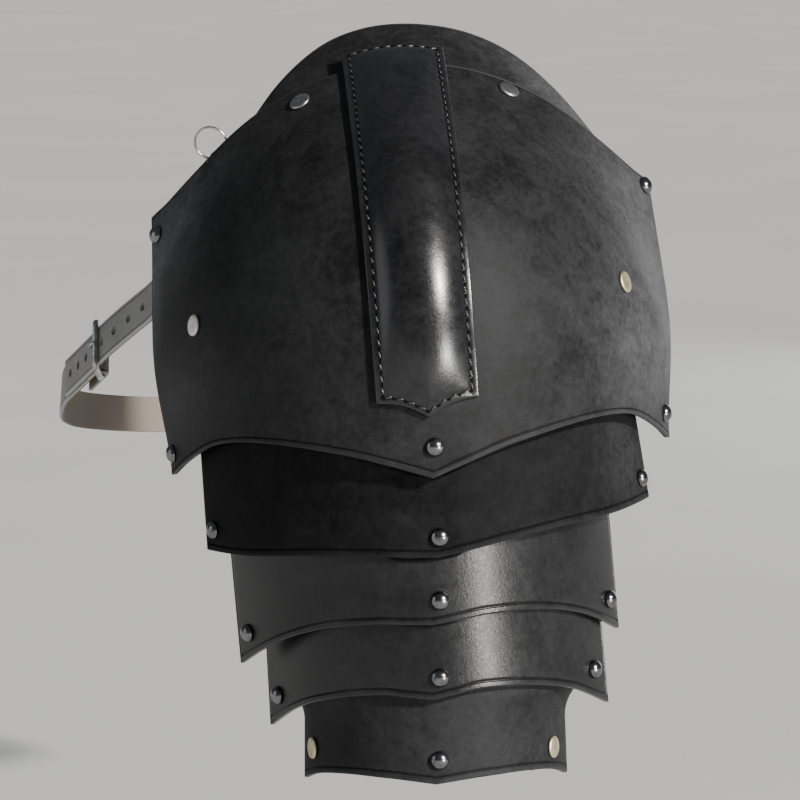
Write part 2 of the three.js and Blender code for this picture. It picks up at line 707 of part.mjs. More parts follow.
// The strap proper is folded round the heel bar and goes round the chest to the other rivet.
const foldRadius = BAR_RADIUS + GAP + STRAP_LEATHER / 2;
const foldLine = [FOLD_LENGTH, 18, 8].map((run) => ({
  point: atBuckle(run, -heelDrop - foldRadius),
  out: face.clone().negate(),
}));
for (let step = 0; step <= 8; step++) {
  const turn = (Math.PI * step) / 8;
  const out = face.clone().multiplyScalar(-Math.cos(turn))
    .addScaledVector(along, -Math.sin(turn));
  foldLine.push({ point: atBuckle(0, -heelDrop).addScaledVector(out, foldRadius), out });
}
const chestLine = smoothLine([
  ...[12, 26, 40, 55].map((run) => ({ point: atBuckle(run, foldRadius - heelDrop), out: face })),
  ...strapStops(CHEST_STOPS),
], 54);
addPiece("chest_strap", without(
  band([...foldLine, ...chestLine], STRAP_WIDTH, STRAP_LEATHER), [...holes.chest_strap, prongSlot]),
LEATHERS.belt);

// Ring in the eye of a folded tab under the main plate's top edge
const ringEye = onPlate(MAIN, RING_ACROSS, RING_UP, TAB_SUNK);
const eyeAxis = onPlate(MAIN, RING_ACROSS + 0.02, RING_UP, TAB_SUNK).point.sub(ringEye.point)
  .normalize();
const eyeAway = eyeAxis.clone().cross(ringEye.out).negate().normalize();
const tabShape = new THREE.Shape();
const eyeOuter = EYE_RADIUS + TAB_LEATHER;
tabShape.moveTo(-TAB_LENGTH, eyeOuter - 2 * TAB_LEATHER);
tabShape.lineTo(-eyeOuter * 1.6, eyeOuter - 2 * TAB_LEATHER);
tabShape.absarc(0, 0, eyeOuter, radians(205), radians(450), false);
tabShape.lineTo(-TAB_LENGTH, eyeOuter);
const eyeHole = new THREE.Path();
eyeHole.absarc(0, 0, EYE_RADIUS, 0, 2 * Math.PI, true);
tabShape.holes.push(eyeHole);
const tab = new THREE.ExtrudeGeometry(tabShape,
  { depth: TAB_WIDTH, bevelEnabled: false, curveSegments: 10 });
tab.translate(0, 0, -TAB_WIDTH / 2);
const tabPlace = new THREE.Matrix4().makeBasis(eyeAway, ringEye.out,
  eyeAway.clone().cross(ringEye.out));
tab.applyMatrix4(tabPlace.setPosition(ringEye.point));
addPiece("ring_tab", closed(tab), LEATHERS.strap);

const ringFace = new THREE.Vector3(0, -1, 0);
ringFace.addScaledVector(eyeAxis, -ringFace.dot(eyeAxis)).normalize();
const ringWay = ringFace.clone().cross(eyeAxis).normalize();
if (ringWay.z < 0) ringWay.negate();
const ring = new THREE.TorusGeometry(RING_RADIUS, RING_WIRE, 6, 24);
ring.applyQuaternion(
  new THREE.Quaternion().setFromUnitVectors(new THREE.Vector3(0, 0, 1), ringFace));
const ringMiddle = ringEye.point.clone().addScaledVector(ringWay, RING_RADIUS);
ring.translate(ringMiddle.x, ringMiddle.y, ringMiddle.z);
addPiece("ring", closed(ring), METALS.steel);

// The seat on the shoulder is the origin.
for (const piece of group.children) piece.geometry.translate(0, -SEAT_BACK, -SEAT_UP);

export default group;
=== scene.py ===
"""A worn leather pauldron: moulded shoulder plate with a stitched rib, collar, four lames and straps."""

import math

import bpy
import numpy as np
from mathutils import Matrix, Vector


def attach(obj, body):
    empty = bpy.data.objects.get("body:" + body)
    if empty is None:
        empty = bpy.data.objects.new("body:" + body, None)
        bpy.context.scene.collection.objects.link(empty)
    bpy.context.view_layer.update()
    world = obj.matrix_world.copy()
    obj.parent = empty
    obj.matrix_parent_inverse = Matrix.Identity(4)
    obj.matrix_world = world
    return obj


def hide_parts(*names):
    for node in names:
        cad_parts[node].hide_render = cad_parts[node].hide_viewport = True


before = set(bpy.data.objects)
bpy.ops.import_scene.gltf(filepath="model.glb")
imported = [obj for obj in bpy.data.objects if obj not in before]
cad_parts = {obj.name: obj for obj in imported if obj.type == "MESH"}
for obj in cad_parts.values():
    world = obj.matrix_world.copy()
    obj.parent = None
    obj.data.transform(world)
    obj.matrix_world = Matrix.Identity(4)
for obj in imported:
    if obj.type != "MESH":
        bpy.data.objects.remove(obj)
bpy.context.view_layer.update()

# ---- Camera -------------------------------------------------------------------------------------
# A long lens 2.2 m away, slightly left of the plates' front and slightly above them, as the
# photograph was taken. It is placed from the lower tip of the main plate.
tip = Vector((0, -0.112, -0.172))
swing, climb = math.radians(-3), math.radians(8)
towards = Vector((math.sin(swing) * math.cos(climb), -math.cos(swing) * math.cos(climb),
                  math.sin(climb)))
rightward = Vector((math.cos(swing), math.sin(swing), 0))
upward = towards.cross(rightward)
aim = tip - 0.0161 * rightward + 0.0378 * upward
camera = bpy.data.objects.new("camera", bpy.data.cameras.new("camera"))
camera.location = tip + 2.2 * towards
camera.rotation_euler = (aim - camera.location).to_track_quat("-Z", "Y").to_euler()
camera.data.lens = 206.25
camera.data.sensor_width = 36
camera.data.clip_end = 50
bpy.context.scene.collection.objects.link(camera)
bpy.context.scene.camera = camera

# ---- Main plate ---------------------------------------------------------------------------------
# One sheet of 3 mm vegetable-tanned leather, wet-moulded over the shoulder and dyed black. Its rim
# is rounded and burnished, and a creasing tool has pressed a line along every edge.
LEATHER, GAP = 3.0, 0.3
SEAT = (0, 112, 172)  # right, back and up of the frame's origin from the plate's own, millimetres


def read_table(rows, column, at):
    """Smooth curve through a table's column, with the same slope on both sides of each row."""
    keys = np.array([row[0] for row in rows], float)
    values = np.array([row[column] for row in rows], float)
    last = len(keys) - 1
    before = np.maximum(np.arange(last + 1) - 1, 0)
    after = np.minimum(np.arange(last + 1) + 1, last)
    slopes = (values[after] - values[before]) / (keys[after] - keys[before])
    at = np.asarray(at, float)
    low = np.clip(np.searchsorted(keys, at, side="left") - 1, 0, last - 1)
    width = keys[low + 1] - keys[low]
    t = (at - keys[low]) / width
    curve = ((2 * t ** 3 - 3 * t ** 2 + 1) * values[low] + (t ** 3 - 2 * t ** 2 + t) * width * slopes[low]
             + (3 * t ** 2 - 2 * t ** 3) * values[low + 1] + (t ** 3 - t ** 2) * width * slopes[low + 1])
    return np.where(t > 1, values[low + 1], curve)


# height up the plate, half its width, its depth, degrees that it wraps round its ellipse
MAIN_SECTIONS = [(0, 127, 128, 72), (125, 132, 138, 70), (252, 128, 82, 45)]
MAIN_TOP, MAIN_TILT, TILT_FROM, TILT_TO = 252, 62, 25, 215
# part of the half width, low edge, high edge
MAIN_EDGES = [(0, 0, 252), (0.12, 7, 252), (0.25, 13.5, 252), (0.5, 21.5, 250), (0.65, 22.5, 247),
              (0.75, 18.5, 245), (0.9, 2.5, 247), (1, -14, 253)]

heights = np.arange(-60, 340, 0.25)
ramp = np.clip((heights - TILT_FROM) / (TILT_TO - TILT_FROM), 0, 1)
lean_there = np.radians(MAIN_TILT) * ramp ** 2 * (3 - 2 * ramp)
spine_back = np.cumsum(np.sin(lean_there)) * 0.25
spine_up = np.cumsum(np.cos(lean_there)) * 0.25
spine_back -= np.interp(0, heights, spine_back)
spine_up -= np.interp(0, heights, spine_up)


def main_spine(up):
    return (np.interp(up, heights, spine_back), np.interp(up, heights, spine_up),
            np.radians(MAIN_TILT) * up / MAIN_TOP)


def main_section(up):
    at = np.clip(up, 0, MAIN_TOP)
    return (read_table(MAIN_SECTIONS, 1, at), read_table(MAIN_SECTIONS, 2, at),
            np.radians(read_table(MAIN_SECTIONS, 3, at)))


def turned(roll, yaw, right, back, up):
    place = Matrix.Rotation(math.radians(-yaw), 4, "Z") @ Matrix.Rotation(math.radians(-roll), 4, "Y")
    return np.array(Matrix.Translation((right, back, up)) @ place)


def plain_edges(rows):
    return lambda across, side: read_table(rows, 1 if side == "low" else 2, np.abs(across))


MAIN = {"spine": main_spine, "section": main_section, "edge": plain_edges(MAIN_EDGES),
        "across": lambda part: part, "place": turned(4, 0, 0, 0, 0)}


def bent_point(plate, across, up):
    """Point of a plate's outer face before it is rolled and set in place, in millimetres."""
    back, high, tilt = plate["spine"](up)
    half, depth, wrap = plate["section"](up)
    turn = wrap * plate["across"](across)
    deep = depth * (1 - np.cos(turn)) / (1 - np.cos(wrap))
    return np.stack(np.broadcast_arrays(half * np.sin(turn) / np.sin(wrap),
                                        back + deep * np.cos(tilt), high - deep * np.sin(tilt)), -1)


def on_plate(plate, across, up, sunk=0.0):
    """Points and outward directions in the CAD frame, in metres; sunk is in millimetres."""
    across, up, sunk = np.broadcast_arrays(np.asarray(across, float), np.asarray(up, float), sunk)
    sideways = bent_point(plate, across + 0.01, up) - bent_point(plate, across - 0.01, up)
    upwards = bent_point(plate, across, up + 1) - bent_point(plate, across, up - 1)
    out = np.cross(sideways, upwards)
    out /= np.linalg.norm(out, axis=-1, keepdims=True)
    point = bent_point(plate, across, up) - out * sunk[..., None]
    point = point @ plate["place"][:3, :3].T + plate["place"][:3, 3]
    return (point - SEAT) / 1000, out @ plate["place"][:3, :3].T


def sheet_mesh(name, outer, inner, marks=None):
    """Closed sheet between two grids of points. Rows run up and columns to the right."""
    rows, columns = outer.shape[:2]
    at = np.arange(rows * columns).reshape(rows, columns)
    under = at + rows * columns
    quads = [np.stack([at[:-1, :-1], at[:-1, 1:], at[1:, 1:], at[1:, :-1]], -1).reshape(-1, 4),
             np.stack([under[:-1, :-1], under[1:, :-1], under[1:, 1:], under[:-1, 1:]], -1).reshape(-1, 4),
             np.stack([under[0, :-1], under[0, 1:], at[0, 1:], at[0, :-1]], -1),
             np.stack([at[-1, :-1], at[-1, 1:], under[-1, 1:], under[-1, :-1]], -1),
             np.stack([at[:-1, 0], at[1:, 0], under[1:, 0], under[:-1, 0]], -1),
             np.stack([under[:-1, -1], under[1:, -1], at[1:, -1], at[:-1, -1]], -1)]
    mesh = bpy.data.meshes.new(name)
    points = np.concatenate([outer.reshape(-1, 3), inner.reshape(-1, 3)])
    mesh.from_pydata(points.tolist(), [], np.concatenate(quads).tolist())
    for key, values in (marks or {}).items():
        layer = mesh.attributes.new(key, "FLOAT", "POINT")
        layer.data.foreach_set("value", np.concatenate([v.reshape(-1) for v in values]).astype(np.float32))
    mesh.shade_smooth()
    piece = bpy.data.objects.new(name, mesh)
    bpy.context.scene.collection.objects.link(piece)
    return piece


NEAR = np.array([0, 0.12, 0.35, 0.65, 0.95, 1.2, 1.45, 1.7, 2.1, 2.7, 3.05, 3.3, 3.55, 3.8, 4.2, 5])


def rounded(distance, radius=0.9):
    """How far a face drops at its burnished rim."""
    inside = np.clip(radius - distance, 0, radius)
    return radius - np.sqrt(radius ** 2 - inside ** 2)


def pressed(distance, middle, half_width):
    return np.exp(-((distance - middle) / half_width) ** 2)


def moulded_plate(name, plate, sunk, cells_across, cells_up, lower_line=3.4, wax_and_sheen=()):
    """A moulded leather plate with rounded rims and its creased lines. Its pale patches are partly wax
    bloom and partly painted sheen: across, up, reach across, reach up, strength."""
    middle_up = 0.5 * (plate["edge"](1.0, "low") + plate["edge"](1.0, "high"))
    side = bent_point(plate, np.array(1.0), middle_up) - bent_point(plate, np.array(0.98), middle_up)
    side_scale = np.linalg.norm(side) / 0.02
    near = NEAR[NEAR < 2.5] / side_scale
    across = np.concatenate([-1 + near, np.linspace(-1, 1, cells_across + 1)[1:-1], 1 - near[::-1]])
    low, high = plate["edge"](across, "low"), plate["edge"](across, "high")
    upper = NEAR[NEAR < 2.5]
    middle = np.linspace(0, 1, cells_up + 1)[1:-1, None]
    body = (low + NEAR[-1]) * (1 - middle) + (high - upper[-1]) * middle
    up = np.concatenate([low + NEAR[:, None], body, high - upper[::-1, None]])
    grid = np.broadcast_to(across, up.shape)
    to_side = (1 - np.abs(grid)) * side_scale
    rim = np.minimum(np.minimum(up - low, high - up), to_side)
    crease = np.maximum(pressed(up - low, lower_line, 0.45) * (to_side > 1.3),
                        pressed(np.minimum(high - up, to_side), 1.35, 0.4)
                        * (up - low > lower_line))
    outer, _ = on_plate(plate, grid, up, sunk + rounded(rim) + 0.7 * crease)
    inner, _ = on_plate(plate, grid, up, sunk + LEATHER - rounded(rim))
    nothing = np.zeros_like(crease)
    haze = sum((strength * np.exp(-((grid - c) / reach) ** 2 - ((up - h) / tall) ** 2)
                for c, h, reach, tall, strength in wax_and_sheen), nothing)
    return sheet_mesh(name, outer, inner, {
        "crease": [crease, nothing], "rim": [np.exp(-rim / 0.8)] * 2, "haze": [haze, nothing],
        "flesh": [nothing, nothing + 1]})


class Wire:
    """A shader value: sums on it add Math nodes."""

    def __init__(self, finish, socket):
        self.finish, self.socket = finish, socket

    def sum_of(self, operation, first, second):
        return self.finish.node("ShaderNodeMath", {"operation": operation}, {0: first, 1: second})

    def __add__(self, other):
        return self.sum_of("ADD", self, other)

    def __sub__(self, other):
        return self.sum_of("SUBTRACT", self, other)

    def __mul__(self, other):
        return self.sum_of("MULTIPLY", self, other)

    def __rsub__(self, other):
        return self.sum_of("SUBTRACT", other, self)

    __radd__, __rmul__ = __add__, __mul__


class Finish:
    """A material and its nodes."""

    def __init__(self, name, **uniform):
        self.material = bpy.data.materials.new(name)
        self.material.use_nodes = True
        self.tree = self.material.node_tree
        self.shader = self.tree.nodes["Principled BSDF"]
        for key, value in uniform.items():
            self.shader.inputs[key.replace("_", " ").title().replace("Ior", "IOR")].default_value = value
        self.place = self.node("ShaderNodeTexCoord", {}, {}, "Object")

    def node(self, kind, settings, inputs, output=0):
        node = self.tree.nodes.new(kind)
        for key, value in settings.items():
            if key == "stops":
                for index, (at, colour) in enumerate(value):
                    stops = node.color_ramp.elements
                    stop = stops[index] if index < 2 else stops.new(at)
                    stop.position, stop.color = at, colour
            else:
                setattr(node, key, value)
        for key, value in inputs.items():
            if isinstance(value, Wire):
                self.tree.links.new(value.socket, node.inputs[key])
            else:
                node.inputs[key].default_value = value
        return Wire(self, node.outputs[output])

    def noise(self, scale, detail=4, roughness=0.55, where=None, distortion=0):
        return self.node("ShaderNodeTexNoise", {}, {"Vector": where or self.place, "Scale": scale,
                         "Detail": detail, "Roughness": roughness, "Distortion": distortion})

    def stretched(self, scale, turn=(0, 0, 0)):
        return self.node("ShaderNodeMapping", {}, {"Vector": self.place, "Scale": scale,
                                                   "Rotation": turn}, "Vector")

    def ramp(self, value, *stops):
        grey = [(at, (level, level, level, 1)) for at, level in stops]
        return self.node("ShaderNodeValToRGB", {"stops": grey}, {"Fac": value}, "Color")

    def mark(self, key):
        return self.node("ShaderNodeAttribute", {"attribute_name": key}, {}, "Fac")

    def mixed(self, factor, first, second):
        return self.node("ShaderNodeMix", {"data_type": "RGBA"}, {0: factor, 6: first, 7: second}, 2)

    def feed(self, **links):
        for key, wire in links.items():
            self.tree.links.new(wire.socket, self.shader.inputs[key.replace("_", " ").title()])

    def bumps(self, height, distance, strength=1.0):
        self.feed(normal=self.node("ShaderNodeBump", {}, {"Height": height, "Distance": distance,
                                                          "Strength": strength}, "Normal"))


def dyed_leather(name, dark, light, flesh, gloss=0.4, coat=0.25, shine=0.4, relief=0.5):
    """Black dye rubbed into leather: cloudy, finely pebbled, with small creases. Its rims are paler,
    partly rubbed and partly a painted highlight; its creased lines hold painted shade, and its pale
    patches are partly wax bloom and partly painted sheen.
    """
    finish = Finish(name, coat_weight=coat, coat_roughness=0.22, specular_ior_level=shine)
    clouds = finish.noise(15, 6, 0.62, distortion=0.8)
    smoke = finish.noise(62, 6, 0.68, distortion=0.7)
    specks = finish.noise(280, 5, 0.7)
    grain = finish.noise(800, 4, 0.6)
    pebbles = finish.node("ShaderNodeTexVoronoi", {"feature": "SMOOTH_F1"},
                          {"Vector": finish.place, "Scale": 850, "Smoothness": 0.6}, "Distance")
    wrinkles = finish.ramp(finish.noise(110, 3, 0.5, distortion=1.6), (0.488, 0), (0.5, 1), (0.512, 0))
    crease, rim = finish.mark("crease"), finish.mark("rim")
    inside, haze = finish.mark("flesh"), finish.mark("haze")
    tone = finish.ramp(clouds * 0.34 + smoke * 0.33 + specks * 0.33, (0.4, 0), (0.62, 1))
    colour = finish.mixed(tone * 0.6, (*dark, 1), (*light, 1))
    # Pale patches mixed into the dye: partly wax bloom, partly painted sheen
    colour = finish.mixed(haze * (0.35 + tone * 0.65), colour, (0.2, 0.203, 0.21, 1))
    # Paler rims: partly rubbed dye, partly a painted highlight
    colour = finish.mixed(rim * 0.35, colour, (*[2.5 * c for c in light], 1))
    # Creased lines and the rib's stitch channel painted near black: painted shade in their grooves
    colour = finish.mixed(crease * 0.9, colour, (0.0015, 0.0015, 0.0015, 1))
    colour = finish.mixed(inside, colour, (*flesh, 1))
    finish.feed(base_color=colour)
    finish.feed(roughness=gloss + tone * 0.12 + grain * 0.1 + inside * 0.35 - rim * 0.2 + haze * 0.08)
    finish.feed(coat_weight=(1 - inside) * (0.8 + tone * 0.4) * coat)
    finish.bumps(grain * 0.9 + pebbles * 0.4 - wrinkles * 0.15 + smoke * 0.3, 0.0003, relief)
    return finish.material


# Across, up, reach across, reach up and strength of each pale patch, partly wax bloom and partly
# painted sheen
WAX_AND_SHEEN = [(-0.86, 226, 0.17, 50, 0.6), (-0.8, 62, 0.2, 38, 0.26), (-0.98, 185, 0.05, 60, 0.45),
         (0.95, 130, 0.26, 130, 0.42), (0.7, 60, 0.18, 40, 0.12)]
plate_leather = dyed_leather("plate_leather", (0.0035, 0.0035, 0.0038), (0.034, 0.0345, 0.037),
                             (0.045, 0.036, 0.03), gloss=0.52, coat=0, shine=0.2)
dull_leather = dyed_leather("dull_leather", (0.003, 0.003, 0.0032), (0.02, 0.0202, 0.0215),
                            (0.045, 0.036, 0.03), gloss=0.6, coat=0, shine=0.08)
lame_leather = dyed_leather("lame_leather", (0.003, 0.003, 0.0032), (0.02, 0.0202, 0.0215),
                            (0.045, 0.036, 0.03), gloss=0.23, coat=0.05, shine=0.36, relief=0.3)


def finished(piece, material, slot_name, *nodes):
    piece.data.materials.clear()
    piece.data.materials.append(material)
    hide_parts(*nodes)
    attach(piece, "root")
    return piece


finished(moulded_plate("main_shell", MAIN, 0.0, 110, 78, wax_and_sheen=WAX_AND_SHEEN), plate_leather,
         "plate_leather", "main_plate")

# ---- Collar plate -------------------------------------------------------------------------------
# A narrow plate of the same leather, tucked under the main plate's top edge so that it carries the
# dome on towards the neck. Two flat rivets hold it.
COLLAR_EDGES = [(0, 226, 297), (0.3, 226, 296), (0.55, 226, 290), (0.8, 226, 273), (1, 226, 250)]
COLLAR = {**MAIN, "edge": plain_edges(COLLAR_EDGES), "across": lambda part: 0.11 + 0.675 * part}
# The collar's pale patch on its right is partly wax bloom and partly painted sheen.
finished(moulded_plate("collar_shell", COLLAR, LEATHER + 0.4, 72, 22, lower_line=1.35,
                      wax_and_sheen=[(0.85, 265, 0.35, 40, 0.35)]),
         plate_leather, "plate_leather", "collar_plate")

# ---- Lames --------------------------------------------------------------------------------------
# Four curved bands down the upper arm, each cut to a shallow point and tucked under the one above.
# The lowest one turns out into small ears at its top corners.
EAR_FROM, EAR_OVER, EAR_MOST = 24, 13, 1.35
# name, (roll, yaw, right, back, up), lean, half, depth, wrap, flare, ear, edge rows with the left top
LAMES = [
    ("lame_1", (6.5, 0, 3.1, 8, -39.9), 3.5, 112.5, 90, 61, 0.05, 0,
     [(0, 0, 41.5, 41.5), (0.0625, 1, 41.7, 43.3), (0.125, 2, 46.2, 48), (0.1875, 3, 53.5, 53.5),
      (0.25, 4, 58, 58), (0.5, 6.4, 68, 68), (0.75, 7, 67, 67), (1, 9, 60, 60)]),
    ("lame_2", (5, 0.3, 0.5, 11.5, -73.4), 2.5, 95.5, 76, 55, 0, 0,
     [(0, 0, 34.5), (0.12, 1.1, 35.3), (0.25, 2.2, 42), (0.5, 0.5, 50), (0.75, -7, 50), (1, -20, 49)]),
    ("lame_3", (4.3, 4.5, 0.5, 14, -110.8), 3, 85, 70, 54, 0.02, 0,
     [(0, 0, 39.3), (0.12, 1.8, 40.3), (0.25, 3.5, 45), (0.5, 1.8, 47), (0.75, -4, 42), (1, -16, 34)]),
    ("lame_4", (1.1, 2.7, 2.5, 18.7, -153.5), 2.5, 66, 65, 80, 0.02, 5,
     [(0, 0, 45, 45), (0.12, 1.5, 46.5, 46.5), (0.25, 2.6, 51, 50), (0.5, 3, 53, 48),
      (0.75, 0.5, 51, 40), (1, -5.5, 45, 31)]),
]


def lame_plate(place, lean, half, depth, wrap, flare, ear, rows):
    angle = math.radians(lean)

    def edge(across, side):
        if side == "high" and len(rows[0]) > 3:
            right, left = (read_table(rows, column, np.abs(across)) for column in (2, 3))
            return np.where(np.asarray(across) < 0, left, right)
        return read_table(rows, 1 if side == "low" else 2, np.abs(across))

    def section(up):
        turn_out = ear * np.clip((up - EAR_FROM) / EAR_OVER, 0, EAR_MOST) ** 2
        return half - flare * up + turn_out, depth, math.radians(wrap)

    return {"spine": lambda up: (up * math.sin(angle), up * math.cos(angle), angle), "section": section,
            "edge": edge, "across": lambda part: part, "place": turned(*place)}


PLATES = {"main_plate": MAIN, "collar_plate": COLLAR}
for lame, *shape in LAMES:
    PLATES[lame] = lame_plate(*shape)
    polish = {"lame_1": dull_leather, "lame_4": plate_leather}.get(lame, lame_leather)
    # The first lame's pale patch on its right is partly wax bloom and partly painted sheen.
    wax_and_sheen = [(0.86, 34, 0.14, 28, 0.12)] if lame == "lame_1" else []
    finished(moulded_plate(f"{lame}_shell", PLATES[lame], 0.0, 84, 18, wax_and_sheen=wax_and_sheen), polish,
             "plate_leather", lame)

# ---- Rib ----------------------------------------------------------------------------------------
# A strip of leather moulded up into a long rounded rib over a core, its flat margin stitched down
# to the main plate all the way round. The lower end comes to a shallow point.
PANEL_HALF, PANEL_SPREAD, PANEL_LOW, PANEL_HIGH = 24.2, 0.04, 30, 264
PANEL_RISE, PANEL_ROUND, PANEL_FLAT, PANEL_THICK = 7.2, 0.85, 0.84, 2.5
PANEL_EDGE = [(0, 0), (0.4, 5.4), (0.7, 7.6), (1, 8.5)]


def rib_place(across, part, above, inset=0.0):
    """Place on the rib; inset draws the low and high ends in, in millimetres."""
    base = PANEL_LOW + read_table(PANEL_EDGE, 1, np.abs(across))
    up = base + inset + (PANEL_HIGH - base - 2 * inset) * part
    part = (up - base) / (PANEL_HIGH - base)
    half, _, wrap = MAIN["section"](up)
    right = PANEL_HALF * across * (1 + PANEL_SPREAD * part)
    turn = np.arcsin(right * np.sin(wrap) / half)
    body = np.clip(1 - (across / PANEL_FLAT) ** 2, 0, None)
    rise = PANEL_RISE * body ** PANEL_ROUND * (1 - (2 * part - 1) ** 8)
    return on_plate(MAIN, turn / wrap, up, -(GAP + 0.22) - above - rise)


length = PANEL_HIGH - PANEL_LOW
ends = np.array([0, 0.1, 0.3, 0.6, 0.9, 1.3, 1.9, 2.8, 3.4, 4, 5.5, 7.5, 10]) / length
part = np.concatenate([ends, np.linspace(0, 1, 90)[4:-4], 1 - ends[::-1]])
margin = np.array([0, 0.1, 0.3, 0.6, 0.9, 1.3, 1.9, 2.8, 3.4, 3.8, 4.2, 4.8, 5.6, 6.6]) / PANEL_HALF
sides = np.concatenate([-1 + margin, np.linspace(-0.68, 0.68, 29), 1 - margin[::-1]])
across, part = np.meshgrid(sides, part)
rim = np.minimum((1 - np.abs(across)) * PANEL_HALF, np.minimum(part, 1 - part) * length)
channel = pressed(rim, 3.4, 0.7)
outer, _ = rib_place(across, part, PANEL_THICK - rounded(rim, 0.8) - 0.35 * channel)
inner, _ = rib_place(across, part, 0 * part)
nothing = np.zeros_like(part)
# The stitch channel carries the crease mark, which paints shade into it.
rib = sheet_mesh("rib", outer, inner, {"crease": [0.45 * channel, nothing],
                                       "rim": [np.exp(-rim / 0.7)] * 2, "flesh": [nothing, nothing + 1]})
rib_leather = dyed_leather("rib_leather", (0.0032, 0.0032, 0.0035), (0.022, 0.0222, 0.024),
                           (0.045, 0.036, 0.03), gloss=0.17, coat=0.28, shine=0.45, relief=0.2)
finished(rib, rib_leather, "plate_leather", "centre_panel")


def setting_tree():
    """Sets a copy of a template at every point, its Z along 'out' and its X along 'along'."""
    tree = bpy.data.node_groups.new("set_in_place", "GeometryNodeTree")
    face = tree.interface
    for kind, key in (("Geometry", "Places"), ("Object", "Template"), ("Float", "Loose turn"),
                      ("Int", "Seed"), ("Material", "Finish")):
        face.new_socket(key, in_out="INPUT", socket_type=f"NodeSocket{kind}")
    face.new_socket("Set", in_out="OUTPUT", socket_type="NodeSocketGeometry")

    def node(kind, inputs=None, **settings):
        made = tree.nodes.new(kind)
        for key, value in settings.items():
            setattr(made, key, value)
        for key, value in (inputs or {}).items():
            if isinstance(value, bpy.types.NodeSocket):
                tree.links.new(value, made.inputs[key])
            else:
                made.inputs[key].default_value = value
        return made

    start = node("NodeGroupInput").outputs
    template = node("GeometryNodeObjectInfo", {"Object": start["Template"]})
    directions = [node("GeometryNodeInputNamedAttribute", {"Name": key}, data_type="FLOAT_VECTOR")
                  for key in ("out", "along")]
    stand = node("FunctionNodeAlignEulerToVector", {"Vector": directions[0].outputs[0]}, axis="Z")
    turn = node("FunctionNodeAlignEulerToVector", {"Rotation": stand.outputs[0],
                "Vector": directions[1].outputs[0]}, axis="X", pivot_axis="Z")
    back = node("ShaderNodeMath", {0: start["Loose turn"], 1: -1.0}, operation="MULTIPLY")
    loose = node("FunctionNodeRandomValue", {2: back.outputs[0], 3: start["Loose turn"],
                                             "Seed": start["Seed"]}, data_type="FLOAT")
    spin = node("ShaderNodeCombineXYZ", {"Z": loose.outputs[1]})
    wobble = node("FunctionNodeRotateEuler", {"Rotation": turn.outputs[0], "Rotate By": spin.outputs[0]},
                  space="LOCAL")
    points = node("GeometryNodeMeshToPoints", {"Mesh": start["Places"]})
    placed = node("GeometryNodeInstanceOnPoints", {"Points": points.outputs[0],
                  "Instance": template.outputs["Geometry"], "Rotation": wobble.outputs[0]})
    whole = node("GeometryNodeRealizeInstances", {"Geometry": placed.outputs[0]})
    coloured = node("GeometryNodeSetMaterial", {"Geometry": whole.outputs[0],
                                                "Material": start["Finish"]})
    node("NodeGroupOutput", {"Set": coloured.outputs[0]})
    return tree


set_in_place = setting_tree()


def set_copies(name, template, places, material, loose_turn=0.0, seed=3):
    """Plain mesh of one template copy at each (point, out, along)."""
    mesh = bpy.data.meshes.new(name)
    mesh.from_pydata([tuple(place[0]) for place in places], [], [])
    for index, key in ((1, "out"), (2, "along")):
        layer = mesh.attributes.new(key, "FLOAT_VECTOR", "POINT")
        layer.data.foreach_set("vector", np.array([place[index] for place in places], np.float32).ravel())
    host = bpy.data.objects.new(f"{name}_places", mesh)
    bpy.context.scene.collection.objects.link(host)
    modifier = host.modifiers.new("set", "NODES")
    modifier.node_group = set_in_place
    chosen = {"Template": template, "Loose turn": loose_turn, "Seed": seed, "Finish": material}
    for item in set_in_place.interface.items_tree:
        if item.in_out == "INPUT" and item.name in chosen:
            modifier[item.identifier] = chosen[item.name]
    bpy.context.view_layer.update()
    solid = bpy.data.meshes.new_from_object(host.evaluated_get(bpy.context.evaluated_depsgraph_get()))
    host.modifiers.clear()
    bpy.data.objects.remove(host)
    bpy.data.objects.remove(template)
    solid.name = name
    piece = bpy.data.objects.new(name, solid)
    bpy.context.scene.collection.objects.link(piece)
    return piece


def turned_template(name, outline, sides):
    """A template turned from an outline of (radius, height) in millimetres, from axis to axis."""
    mesh = bpy.data.meshes.new(name)
    points, faces = [], []
    for radius, high in outline:
        ring = 1 if radius == 0 else sides
        points += [(radius * math.cos(2 * math.pi * k / sides) / 1000,
                    radius * math.sin(2 * math.pi * k / sides) / 1000, high / 1000) for k in range(ring)]
    start = 0
    for (r0, _), (r1, _) in zip(outline, outline[1:]):
        n0, n1 = (1 if r == 0 else sides for r in (r0, r1))
        for k in range(sides):
            a, b = start + k % n0, start + (k + 1) % n0
            c, d = start + n0 + (k + 1) % n1, start + n0 + k % n1
            faces.append([a, c, d] if n0 == 1 else [a, b, c] if n1 == 1 else [a, b, c, d])
        start += n0
    mesh.from_pydata(points, [], faces)
    mesh.shade_smooth()
    return bpy.data.objects.new(name, mesh)


